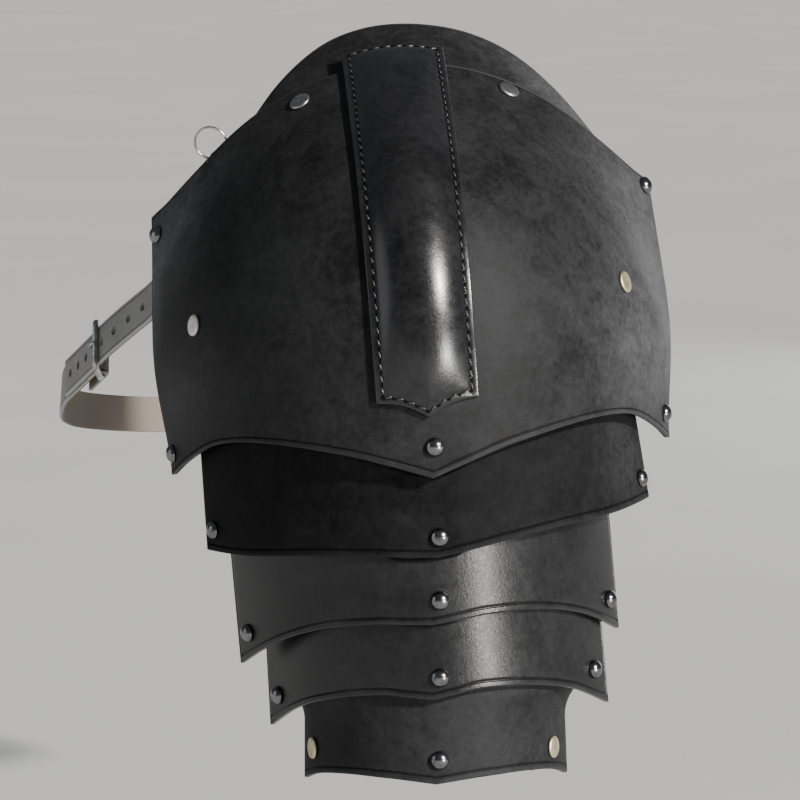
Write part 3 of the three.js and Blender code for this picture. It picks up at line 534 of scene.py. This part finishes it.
# Waxed thread, sewn as a saddle stitch: each stitch lies aslant between two awl holes.
STITCH_INSET, STITCH_PITCH, STITCH_SLANT = 3.4, 0.0058, 0.3
path = [(c, 0.0) for c in np.linspace(-1, 1, 41)]
path += [(1, p) for p in np.linspace(0, 1, 161)[1:]]
path += [(c, 1.0) for c in np.linspace(1, -1, 41)[1:]]
path += [(-1, p) for p in np.linspace(1, 0, 161)[1:]]
path = np.array(path)
sewn, sewn_out = rib_place(path[:, 0] * (1 - STITCH_INSET / PANEL_HALF), path[:, 1],
                           PANEL_THICK - 0.25, STITCH_INSET)
run = np.concatenate([[0], np.cumsum(np.linalg.norm(np.diff(sewn, axis=0), axis=1))])
count = round(run[-1] / STITCH_PITCH)
stitches, awl_holes = [], []
for index in range(count):
    at = run[-1] * (index + 0.5) / count
    near = [np.array([np.interp(at + shift, run, sewn[:, k]) for k in range(3)])
            for shift in (-0.0015, 0, 0.0015)]
    out = np.array([np.interp(at, run, sewn_out[:, k]) for k in range(3)])
    along = near[2] - near[0]
    along /= np.linalg.norm(along)
    stitches.append((near[1], out, along * math.cos(STITCH_SLANT)
                     + np.cross(out, along) * math.sin(STITCH_SLANT)))
    hole = [np.interp(run[-1] * index / count, run, sewn[:, k]) for k in range(3)]
    awl_holes.append((np.array(hole), out, along))


def thread_stitch():
    """One stitch: a short rope of two twisted plies, diving at both ends."""
    mesh = bpy.data.meshes.new("stitch")
    points, faces, steps, sides = [], [], 10, 6
    for step in range(steps + 1):
        t = step / steps * 2 - 1
        thick = 0.5 * max(0.15, 1 - abs(t) ** 4) * (1 + 0.12 * math.sin(9 * t))
        for k in range(sides):
            turn = 2 * math.pi * k / sides + 1.6 * t
            points.append((1.9 * t / 1000, thick * math.cos(turn) / 1000,
                           (0.3 - 0.75 * t ** 4 + thick * math.sin(turn)) / 1000))
    for step in range(steps):
        for k in range(sides):
            a, b = step * sides + k, step * sides + (k + 1) % sides
            faces.append((a, b, b + sides, a + sides))
    faces += [tuple(range(sides))[::-1], tuple(steps * sides + k for k in range(sides))]
    mesh.from_pydata(points, [], faces)
    mesh.shade_smooth()
    return bpy.data.objects.new("stitch", mesh)


thread = Finish("waxed_thread", roughness=0.32, coat_weight=0.3)
ply = thread.noise(1500, 2)
thread.feed(base_color=thread.mixed(ply, (0.012, 0.012, 0.0115, 1), (0.07, 0.069, 0.066, 1)))
thread.bumps(ply, 0.0001)
stitching = set_copies("rib_stitching", thread_stitch(), stitches, thread.material, 0.06, 7)
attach(stitching, "root")

# Near-black discs set in the awl holes: painted shade inside each hole.
hole_shade = Finish("awl_hole_shade", roughness=0.9, specular_ior_level=0.1)
hole_shade.feed(base_color=hole_shade.mixed(hole_shade.noise(2000, 2), (0.001, 0.001, 0.001, 1), (0.003, 0.003, 0.003, 1)))
AWL = [(0, -0.5), (1.05, -0.4), (1.15, 0.16), (0.6, 0.04), (0, 0)]
awl_marks = set_copies("awl_marks", turned_template("awl", AWL, 10), awl_holes, hole_shade.material)
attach(awl_marks, "root")

# ---- Rivets -------------------------------------------------------------------------------------
# Turned rivets with closed caps under the leather: polished domes along the edges and down the
# middle, and flat heads where straps and the collar are fixed, some of them pale brass.
# Outlines of the heads: radius and height above the leather
DOME = [(4.55, 0), (4.6, 0.35), (4.5, 0.85), (4.2, 1.5), (3.7, 2.15), (3, 2.75), (2.1, 3.2), (1.1, 3.5),
        (0, 3.6)]
FLAT = [(5.35, 0), (5.45, 0.3), (5.4, 0.7), (5.15, 1.05), (4.7, 1.25), (3.6, 1.38), (2.4, 1.44),
        (1.2, 1.48), (0, 1.5)]
CAP_RADIUS, POST_RADIUS, HEAD_SEAT = 3.2, 1.6, 0.36
# node, plate, across, up, grip
DOMED = [
    ("rivet_main_1", "main_plate", -0.965, 233.6, 4), ("rivet_main_2", "main_plate", 0.965, 243.4, 3.4),
    ("rivet_main_3", "main_plate", -0.955, 11.7, 3), ("rivet_main_4", "main_plate", 0.93, 16, 3),
    ("rivet_main_5", "main_plate", 0.011, 15.3, 6.2), ("rivet_lame_1a", "lame_1", -0.934, 19.5, 3),
    ("rivet_lame_1b", "lame_1", 0.012, 10.1, 6.3), ("rivet_lame_1c", "lame_1", 0.945, 19.8, 3),
    ("rivet_lame_2a", "lame_2", -0.916, -3.6, 3), ("rivet_lame_2b", "lame_2", 0.04, 11.7, 6.9),
    ("rivet_lame_2c", "lame_2", 0.93, -3.8, 3), ("rivet_lame_3a", "lame_3", -0.901, 0.3, 3),
    ("rivet_lame_3b", "lame_3", 0.044, 10.9, 7), ("rivet_lame_3c", "lame_3", 0.901, 2.6, 3),
    ("rivet_lame_4b", "lame_4", 0.021, 12.2, 6.4)]
FLAT_PALE = [("rivet_strap_1", "main_plate", -0.725, 111.6, 7)]
FLAT_STEEL = [("rivet_collar_1", "main_plate", -0.338, 237.2, 6.5),
              ("rivet_collar_2", "main_plate", 0.396, 240.1, 6.5)]
FLAT_BRASS = [("rivet_strap_2", "main_plate", 0.682, 115.3, 7),
              ("rivet_lame_4a", "lame_4", -0.814, 12.3, 5.9),
              ("rivet_lame_4c", "lame_4", 0.754, 11.5, 5.9)]


def metal(name, base, worn, rough):
    finish = Finish(name, metallic=1.0)
    haze = finish.noise(240, 5, 0.6)
    scratch = finish.noise(2400, 2, 0.5, finish.stretched((1, 0.15, 1), (0.4, 0.2, 0.7)))
    finish.feed(base_color=finish.mixed(finish.ramp(haze, (0.4, 0), (0.66, 1)), (*base, 1), (*worn, 1)))
    finish.feed(roughness=rough + haze * 0.12 + finish.ramp(scratch, (0.6, 0), (0.7, 1)) * 0.12)
    finish.bumps(scratch + haze * 0.6, 0.00008, 0.5)
    return finish.material


steel = metal("polished_steel", (0.25, 0.25, 0.26), (0.14, 0.137, 0.135), 0.14)
grey_steel = metal("grey_steel", (0.5, 0.5, 0.5), (0.3, 0.29, 0.28), 0.32)
pale_steel = metal("pale_steel", (0.9, 0.89, 0.85), (0.68, 0.66, 0.6), 0.5)
pale_brass = metal("pale_brass", (0.8, 0.74, 0.5), (0.54, 0.48, 0.3), 0.42)


def rivets(name, table, head, material, slot_name):
    """Heads, posts and caps of one kind of rivet, as one piece."""
    places = []
    for _, plate, across, up, grip in table:
        point, out = on_plate(PLATES[plate], across, up)
        places.append((point, out, np.cross(out, (0.0, 0.0, 1.0)), grip))
    pieces = []
    for grip in sorted({place[3] for place in places}):
        cap = [(0, -1.25), (2.6, -1.25), (3.15, -1.1), (CAP_RADIUS, -0.35), (POST_RADIUS, -0.35)]
        outline = ([(radius, high - grip) for radius, high in cap] + [(POST_RADIUS, HEAD_SEAT)]
                   + [(radius, high + HEAD_SEAT) for radius, high in head])
        chosen = [place[:3] for place in places if place[3] == grip]
        template = turned_template("rivet", outline, 28)
        pieces.append(set_copies(f"{name}_{len(pieces)}", template, chosen, material))
    bpy.ops.object.select_all(action="DESELECT")
    for piece in pieces:
        piece.select_set(True)
    bpy.context.view_layer.objects.active = pieces[0]
    if len(pieces) > 1:
        bpy.ops.object.join()
    pieces[0].name = name
    return finished(pieces[0], material, slot_name, *[row[0] for row in table])


rivets("domed_rivets", DOMED, DOME, steel, "rivet_steel")
rivets("flat_rivets", FLAT_STEEL, FLAT, grey_steel, "rivet_steel")
rivets("pale_rivet", FLAT_PALE, FLAT, pale_steel, "rivet_steel")
rivets("brass_rivets", FLAT_BRASS, FLAT, pale_brass, "rivet_brass")

# ---- Straps -------------------------------------------------------------------------------------
# Strips cut from leather, their edges rounded over: a hidden one that carries the lames, one round
# the arm, and a punched billet and a long strap in grey leather, creased along both edges.
STRAP_WIDTH, STRAP_LEATHER, TIE_WIDTH, TIE_LEATHER = 20, 2.5, 16, 2
STRAP_SUNK, MAIN_BOW = LEATHER + GAP + STRAP_LEATHER / 2 + 0.1, 1


def strap_stops(rows):
    """Stops under a plate (plate, across, up, deeper) or free ones (right, back, up, look, tip)."""
    points, outs = [], []
    for row in rows:
        if isinstance(row[0], str):
            bow = MAIN_BOW if row[0] == "main_plate" else 0
            point, out = on_plate(PLATES[row[0]], row[1], row[2], STRAP_SUNK + bow + row[3])
        else:
            point = (np.array(row[:3], float) - SEAT) / 1000
            look, tip_up = np.radians(row[3:])
            out = np.array([np.sin(look), -np.cos(look), np.sin(tip_up)])
        points.append(point)
        outs.append(out)
    return np.array(points), np.array(outs)


def curve_through(stops, fine=40):
    """Centripetal curve through stops, sampled evenly between each two."""
    stops = np.array(stops, float)
    ring = np.concatenate([[2 * stops[0] - stops[1]], stops, [2 * stops[-1] - stops[-2]]])
    line = []
    for p0, p1, p2, p3 in zip(ring, ring[1:], ring[2:], ring[3:]):
        gaps = [math.sqrt(np.linalg.norm(b - a)) for a, b in ((p0, p1), (p1, p2), (p2, p3))]
        gaps[1] = gaps[1] if gaps[1] > 1e-4 else 1.0
        before, after = (gap if gap > 1e-4 else gaps[1] for gap in (gaps[0], gaps[2]))
        leave = ((p1 - p0) / before - (p2 - p0) / (before + gaps[1]) + (p2 - p1) / gaps[1]) * gaps[1]
        arrive = ((p2 - p1) / gaps[1] - (p3 - p1) / (gaps[1] + after) + (p3 - p2) / after) * gaps[1]
        t = np.linspace(0, 1, fine, endpoint=False)[:, None]
        line.append((2 * t ** 3 - 3 * t ** 2 + 1) * p1 + (t ** 3 - 2 * t ** 2 + t) * leave
                    + (3 * t ** 2 - 2 * t ** 3) * p2 + (t ** 3 - t ** 2) * arrive)
    return np.concatenate(line + [stops[-1:]])


def cut_strap(name, points, outs, width, thick, creased=None, step=1.6, radius=0.7):
    """A strip of leather along a line, with rounded edges and an optional crease inside them."""
    run = np.concatenate([[0], np.cumsum(np.linalg.norm(np.diff(points, axis=0), axis=1))]) * 1000
    start = np.array([0, 0.1, 0.25, 0.45, 0.7, 1.0])
    count = max(4, int((run[-1] - 2.4) / step))
    at = np.concatenate([start, np.linspace(1.2, run[-1] - 1.2, count), run[-1] - start[::-1]])
    middle = np.stack([np.interp(at, run, points[:, k]) for k in range(3)], -1)
    out = np.stack([np.interp(at, run, outs[:, k]) for k in range(3)], -1)
    ahead = np.stack([np.interp(np.minimum(at + 0.8, run[-1]), run, points[:, k]) for k in range(3)], -1)
    behind = np.stack([np.interp(np.maximum(at - 0.8, 0), run, points[:, k]) for k in range(3)], -1)
    along = ahead - behind
    along /= np.linalg.norm(along, axis=1, keepdims=True)
    out -= along * (out * along).sum(1, keepdims=True)
    out /= np.linalg.norm(out, axis=1, keepdims=True)
    side = np.cross(along, out)
    inner_edge = np.array([0, 0.1, 0.25, 0.45, 0.7, 1.0, 1.25, 1.5, 1.75, 2.0, 2.3, 2.7])
    inner_edge = inner_edge[inner_edge < width / 2 - 1.5]
    body = np.linspace(-width / 2 + inner_edge[-1], width / 2 - inner_edge[-1], 9)[1:-1]
    offset = np.concatenate([-width / 2 + inner_edge, body, width / 2 - inner_edge[::-1]])
    from_side = (width / 2 - np.abs(offset))[None, :]
    from_end = np.minimum(at, run[-1] - at)[:, None]
    rim = np.minimum(from_side, from_end)
    crease = pressed(rim, creased, 0.3) if creased else 0 * rim
    lift = (thick / 2 - rounded(rim, radius))[..., None] / 1000
    place = middle[:, None, :] + side[:, None, :] * offset[None, :, None] / 1000
    outer = place + out[:, None, :] * (lift - 0.35 * crease[..., None] / 1000)
    nothing = np.zeros_like(rim)
    return sheet_mesh(name, outer, place - out[:, None, :] * lift, {
        "crease": [crease, nothing], "rim": [np.exp(-rim / 0.6)] * 2, "flesh": [nothing, nothing + 1]})


def punched(piece, *cutters):
    """Cuts holes through a strap, with raw leather in them."""
    for cutter in cutters:
        raw = cutter.data.attributes.new("flesh", "FLOAT", "POINT")
        raw.data.foreach_set("value", np.full(len(cutter.data.vertices), 0.8, np.float32))
        cut = piece.modifiers.new("punch", "BOOLEAN")
        cut.object, cut.solver, cut.operation = cutter, "EXACT", "DIFFERENCE"
        bpy.context.view_layer.update()
        mesh = bpy.data.meshes.new_from_object(piece.evaluated_get(bpy.context.evaluated_depsgraph_get()))
        piece.modifiers.clear()
        piece.data = mesh
        bpy.data.objects.remove(cutter)
    piece.data.set_sharp_from_angle(angle=math.radians(50))
    return piece


def swept(name, path, radii, sides=12, closed=False):
    """Round bar along a path, in metres; an open one closes in rounded ends."""
    path, radii = np.array(path, float), np.array(radii, float) * np.ones(len(path))
    along = (np.roll(path, -1, 0) - np.roll(path, 1, 0)) if closed else np.gradient(path, axis=0)
    along /= np.linalg.norm(along, axis=1, keepdims=True)
    first = np.cross(along[0], (0.31, 0.2, 0.93))
    first /= np.linalg.norm(first)
    turn = np.linspace(0, 2 * np.pi, sides, endpoint=False)[:, None]
    points, spare = [], first
    for centre, way, radius in zip(path, along, radii):
        spare = spare - way * (spare @ way)
        spare /= np.linalg.norm(spare)
        points.append(centre + radius * (np.cos(turn) * spare + np.sin(turn) * np.cross(way, spare)))
    rings = len(path)
    faces = [(i * sides + k, i * sides + (k + 1) % sides, (i + 1) % rings * sides + (k + 1) % sides,
              (i + 1) % rings * sides + k)
             for i in range(rings if closed else rings - 1) for k in range(sides)]
    if not closed:
        faces += [tuple(range(sides))[::-1], tuple((rings - 1) * sides + k for k in range(sides))]
    mesh = bpy.data.meshes.new(name)
    mesh.from_pydata(np.concatenate(points).tolist(), [], faces)
    mesh.shade_smooth()
    piece = bpy.data.objects.new(name, mesh)
    bpy.context.scene.collection.objects.link(piece)
    return piece


lining_leather = dyed_leather("lining_leather", (0.008, 0.0078, 0.0075), (0.02, 0.0195, 0.019),
                              (0.04, 0.033, 0.028), gloss=0.5, coat=0.02, shine=0.25)
grey_leather = dyed_leather("grey_leather", (0.22, 0.217, 0.206), (0.36, 0.355, 0.34),
                            (0.2, 0.17, 0.14), gloss=0.48, coat=0.12)

# Right, up and back of the hidden strip's outer face, from the main plate down to the lowest lame
TIE_STOPS = [(1.2, 26, 3.9), (1.2, 12.8, 3.9), (1.2, 10.4, 5), (1.3, 6.4, 12.8), (1.4, 4.6, 14.6),
             (1.5, 1, 14.6), (1.8, -24, 13.1), (1.8, -33, 12.5), (1.8, -34.2, 13.2),
             (1.8, -36, 17.3), (1.8, -38, 17.9), (1.8, -58, 17), (1.8, -65, 16.7),
             (1.8, -66.2, 17.3), (1.8, -68.8, 20.1), (1.8, -71, 20.8), (1.9, -94, 19.5),
             (2, -103, 19), (2.1, -104.2, 19.4), (2.2, -106.8, 24.4), (2.2, -109, 25.1),
             (2.3, -130, 24.1), (2.4, -149, 23.3)]
tie_line = (np.array([(right, back + TIE_LEATHER / 2, up) for right, up, back in TIE_STOPS]) - SEAT) / 1000
tie_out = np.tile((0.0, -1.0, 0.0), (len(tie_line), 1))
finished(cut_strap("tie", tie_line, tie_out, TIE_WIDTH, TIE_LEATHER), lining_leather, "lining_leather",
         "tie_strip")

ARM_STOPS = [("lame_4", -0.68, 12.3, 0), ("lame_4", -0.814, 12.3, 0), ("lame_4", -0.95, 12, 0),
             ("lame_4", -1.02, 12, 0.6), (-56.8, 102, -146, -104, 0), (-47, 122, -147, -130, 0),
             (-27, 139, -148, -155, 0), (1, 146, -148, -180, 0), (29, 139, -148, -205, 0),
             (51, 121, -147, -230, 0), (59.5, 100, -146, -256, 0), ("lame_4", 1.02, 11.8, 0.6),
             ("lame_4", 0.93, 11.8, 0.4), ("lame_4", 0.84, 11.6, 0), ("lame_4", 0.754, 11.5, 0),
             ("lame_4", 0.62, 11.5, 0)]
arm_points, arm_outs = (curve_through(stops) for stops in strap_stops(ARM_STOPS))
finished(cut_strap("arm_band", arm_points, arm_outs, STRAP_WIDTH, STRAP_LEATHER, 1.8), lining_leather,
         "lining_leather", "arm_strap")

BILLET_STOPS = [("main_plate", -0.66, 103, 0), ("main_plate", -0.725, 111.6, 0),
                ("main_plate", -0.83, 133, 0), ("main_plate", -0.93, 161, 0), (-131.8, 151, 74, -76, 8),
                (-138.5, 165, 67.5, -70, 8), (-149, 181, 57.5, -69, 8), (-160, 198, 46.4, -71, 8),
                (-164.5, 211.2, 40.6, -72, 8), (-169, 224.4, 35, -72, 8), (-173.5, 237.6, 29.4, -72, 8),
                (-178, 250.8, 23.8, -72, 8), (-182.5, 264, 18.2, -72, 8)]
HEEL_STOP = 9
billet_stops, billet_outs = strap_stops(BILLET_STOPS)
billet_line, billet_faces = curve_through(billet_stops), curve_through(billet_outs)

# The buckle's own directions: along the billet's run, out of its face, and across it
heel = billet_stops[HEEL_STOP]
ahead = heel - billet_stops[HEEL_STOP - 1]
ahead /= np.linalg.norm(ahead)
facing = billet_outs[HEEL_STOP] - ahead * (billet_outs[HEEL_STOP] @ ahead)
facing /= np.linalg.norm(facing)
sideways = np.cross(ahead, facing)
BAR_RADIUS, PRONG_RADIUS, FRAME_LENGTH, FRAME_HALF, FOLD_LENGTH = 1.6, 1.2, 21, 12.6, 30
heel_drop = STRAP_LEATHER / 2 + 2 * GAP + STRAP_LEATHER + BAR_RADIUS
front_rise = STRAP_LEATHER / 2 + GAP + 0.1 + BAR_RADIUS


def at_buckle(run, out, side=0.0):
    return heel + (ahead * run + facing * out + sideways * side) / 1000


prong_path = curve_through([at_buckle(0, -heel_drop), at_buckle(-7, -heel_drop + 3.2), at_buckle(-13, 2.2),
                            at_buckle(-FRAME_LENGTH + 2, front_rise + 2.1),
                            at_buckle(-FRAME_LENGTH - 2.5, front_rise + 1.6)], 8)

PUNCH_RUNS = [86, 71, 56, 41, 26, -4, -19, -34]
away = (billet_line - heel) @ ahead * 1000
punches = []
for run in PUNCH_RUNS:
    point, out = (np.array([np.interp(-run, away, line[:, k]) for k in range(3)])
                  for line in (billet_line, billet_faces))
    punches.append((point, out / np.linalg.norm(out), ahead))
billet = cut_strap("billet", billet_line, billet_faces, STRAP_WIDTH, STRAP_LEATHER, 1.8)
punch_set = set_copies("punches", turned_template("punch", [(0, -4), (2.4, -4), (2.4, 4), (0, 4)], 20),
                       punches, grey_leather)
punched(billet, punch_set, swept("slot", prong_path, (PRONG_RADIUS + 0.6) / 1000))
finished(billet, grey_leather, "strap_leather", "chest_billet")

CHEST_STOPS = [(-185.6, 300, 2.6, -82, 8), (-181, 330, -5.6, -98, 6), (-168, 368, -12.8, -115, 4),
               (-140, 412, -20, -135, 2), (-96, 445, -24, -154, 0), (-36, 460, -26, -174, 0),
               (24, 452, -25, -194, 0), (76, 422, -18, -215, 2), (110, 372, -2, -238, 5),
               (123, 312, 22, -258, 8), (127, 250, 48, -266, 10), (127, 195, 70, -276, 14),
               ("main_plate", 0.985, 181, 0), ("main_plate", 0.9, 156, 0), ("main_plate", 0.79, 133, 0),
               ("main_plate", 0.682, 115.3, 0), ("main_plate", 0.62, 106, 0)]
fold_radius = BAR_RADIUS + GAP + STRAP_LEATHER / 2
fold = [(at_buckle(run, -heel_drop - fold_radius), -facing) for run in np.linspace(FOLD_LENGTH, 0, 16)[:-1]]
for turn in np.linspace(0, np.pi, 25):
    out = -facing * math.cos(turn) - ahead * math.sin(turn)
    fold.append((at_buckle(0, -heel_drop) + out * fold_radius / 1000, out))
chest_points, chest_outs = strap_stops(CHEST_STOPS)
lead = [at_buckle(run, fold_radius - heel_drop) for run in (12, 26, 40, 55)]
chest_line = np.concatenate([[p for p, _ in fold], curve_through(np.concatenate([lead, chest_points]))])
chest_faces = np.concatenate([[o for _, o in fold],
                              curve_through(np.concatenate([np.tile(facing, (4, 1)), chest_outs]))])
chest = punched(cut_strap("chest_band", chest_line, chest_faces, STRAP_WIDTH, STRAP_LEATHER, 1.8, step=2.2),
                swept("slot", prong_path, (PRONG_RADIUS + 0.6) / 1000))
finished(chest, grey_leather, "strap_leather", "chest_strap")

# The fold is sewn down beside the buckle with two short rows of the same waxed thread.
fold_stitches = [(at_buckle(run, fold_radius - heel_drop + 1.2, side), facing, ahead)
                 for run in (10, 15.5, 21, 26.5) for side in (-7.2, 7.2)]
fold_stitching = set_copies("fold_stitching", thread_stitch(), fold_stitches, thread.material, 0.1, 5)
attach(fold_stitching, "root")

# ---- Buckle -------------------------------------------------------------------------------------
# A single-bar buckle of bent and welded round steel wire. Its prong turns on the heel bar inside
# the strap's fold and rests on the front bar.
corner, outline = 3.2, []
frame_slope = (front_rise + heel_drop) / FRAME_LENGTH
for u, v, start in ((-corner, FRAME_HALF - corner, 0), (corner - FRAME_LENGTH, FRAME_HALF - corner, 90),
                    (corner - FRAME_LENGTH, corner - FRAME_HALF, 180), (-corner, corner - FRAME_HALF, 270)):
    for step in range(9):
        bend = math.radians(start + step * 90 / 8)
        run, side = u + corner * math.cos(bend), v + corner * math.sin(bend)
        outline.append(at_buckle(run, -heel_drop - run * frame_slope, side))
buckle = swept("buckle_wire", outline, BAR_RADIUS / 1000, 16, closed=True)
taper = np.interp(np.linspace(0, 1, len(prong_path)), [0, 0.85, 1], [1.2, 1.05, 0.6]) / 1000
prong = swept("prong", prong_path, taper, 14)
buckle_steel = metal("buckle_steel", (0.56, 0.56, 0.57), (0.36, 0.35, 0.34), 0.24)
prong.data.materials.append(buckle_steel)
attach(prong, "root")
finished(buckle, buckle_steel, "steel", "chest_buckle")

# ---- Ring and tab -------------------------------------------------------------------------------
# A small wire ring that hangs in the eye of a folded leather tab. The tab is fixed under the upper
# left edge of the main plate.
RING_RADIUS, RING_WIRE, RING_ACROSS, RING_UP = 8.3, 0.6, -0.7, 251
TAB_SUNK, TAB_WIDTH, TAB_LEATHER, TAB_LENGTH, EYE_RADIUS = 7.7, 9, 1.5, 26, 2.6
eye, eye_out = on_plate(MAIN, RING_ACROSS, RING_UP, TAB_SUNK)
eye_axis = on_plate(MAIN, RING_ACROSS + 0.02, RING_UP, TAB_SUNK)[0] - eye
eye_axis /= np.linalg.norm(eye_axis)
eye_away = -np.cross(eye_axis, eye_out)
eye_away /= np.linalg.norm(eye_away)
outer_mid = EYE_RADIUS + TAB_LEATHER / 2
tab = [((-TAB_LENGTH + k, outer_mid), (0, 1)) for k in np.linspace(0, TAB_LENGTH - 0.6, 12)]
tab += [((outer_mid * math.cos(t), outer_mid * math.sin(t)), (math.cos(t), math.sin(t)))
        for t in np.radians(np.linspace(90, -150, 30))]
tab += [((-5.4, 0.6), (-0.75, -0.66)), ((-6.9, 1.75), (-0.4, -0.92)), ((-8.5, outer_mid - 1.55), (0, -1)),
        ((-TAB_LENGTH, outer_mid - 1.55), (0, -1))]
tab_line = np.array([eye + (eye_away * u + eye_out * v) / 1000 for (u, v), _ in tab])
tab_outs = np.array([eye_away * u + eye_out * v for _, (u, v) in tab])
finished(cut_strap("tab", tab_line, tab_outs, TAB_WIDTH, TAB_LEATHER, step=0.5, radius=0.4), lining_leather,
         "lining_leather", "ring_tab")
ring_face = np.array((0.0, -1.0, 0.0)) + eye_axis * eye_axis[1]
ring_face /= np.linalg.norm(ring_face)
ring_way = np.cross(ring_face, eye_axis)
ring_way *= math.copysign(1 / np.linalg.norm(ring_way), ring_way[2])
ring_path = [eye + RING_RADIUS / 1000 * (ring_way * (1 + math.cos(t)) + eye_axis * math.sin(t))
             for t in np.linspace(0, 2 * math.pi, 72, endpoint=False)]
ring_wire = metal("ring_wire", (0.6, 0.6, 0.62), (0.42, 0.41, 0.4), 0.22)
finished(swept("wire_ring", ring_path, RING_WIRE / 1000, 12, closed=True), ring_wire, "steel", "ring")

# ---- Floor and light ----------------------------------------------------------------------------
# A plain pale floor and a soft key light from the right, as in the photograph. A low lamp gives the
# lames their glint, and weak ones lift the left side and the inside of the plates.
floor_mesh = bpy.data.meshes.new("floor")
floor_mesh.from_pydata([(-40, -40, -0.45), (40, -40, -0.45), (40, 40, -0.45), (-40, 40, -0.45)], [],
                       [(0, 1, 2, 3)])
floor = bpy.data.objects.new("floor", floor_mesh)
bpy.context.scene.collection.objects.link(floor)
pale = Finish("pale_floor", roughness=0.85)
pale.feed(base_color=pale.ramp(pale.noise(3), (0.3, 0.62), (0.7, 0.66)))
floor_mesh.materials.append(pale.material)


def soft_light(name, way, distance, size, watts, colour=(1, 1, 1)):
    """A round lamp that looks at the middle of the plates, with its size in metres."""
    lamp = bpy.data.lights.new(name, "AREA")
    lamp.shape, lamp.size, lamp.energy, lamp.color = "DISK", size, watts, colour
    holder = bpy.data.objects.new(name, lamp)
    holder.location = Vector((0, -0.06, -0.1)) + Vector(way).normalized() * distance
    holder.rotation_euler = Vector(way).to_track_quat("Z", "Y").to_euler()
    bpy.context.scene.collection.objects.link(holder)


KEY_WAY, KEY_SPREAD = (0.6, -0.645, 0.47), 4
sun = bpy.data.lights.new("key", "SUN")
sun.energy, sun.angle, sun.color = 6.2, math.radians(KEY_SPREAD), (1, 0.975, 0.94)
sun_holder = bpy.data.objects.new("key", sun)
sun_holder.rotation_euler = Vector(KEY_WAY).to_track_quat("Z", "Y").to_euler()
bpy.context.scene.collection.objects.link(sun_holder)
soft_light("low", (0.66, -0.74, -0.05), 2.6, 0.45, 50, (1, 0.98, 0.96))
soft_light("fill", (-1, -0.2, 0.25), 3, 1.8, 9, (0.9, 0.97, 1))
soft_light("back", (0.5, 1, 0.08), 3, 1.4, 10)
world = bpy.data.worlds.new("studio")
world.use_nodes = True
world.node_tree.nodes["Background"].inputs["Color"].default_value = (0.9, 0.93, 1, 1)
world.node_tree.nodes["Background"].inputs["Strength"].default_value = 0.12
bpy.context.scene.world = world
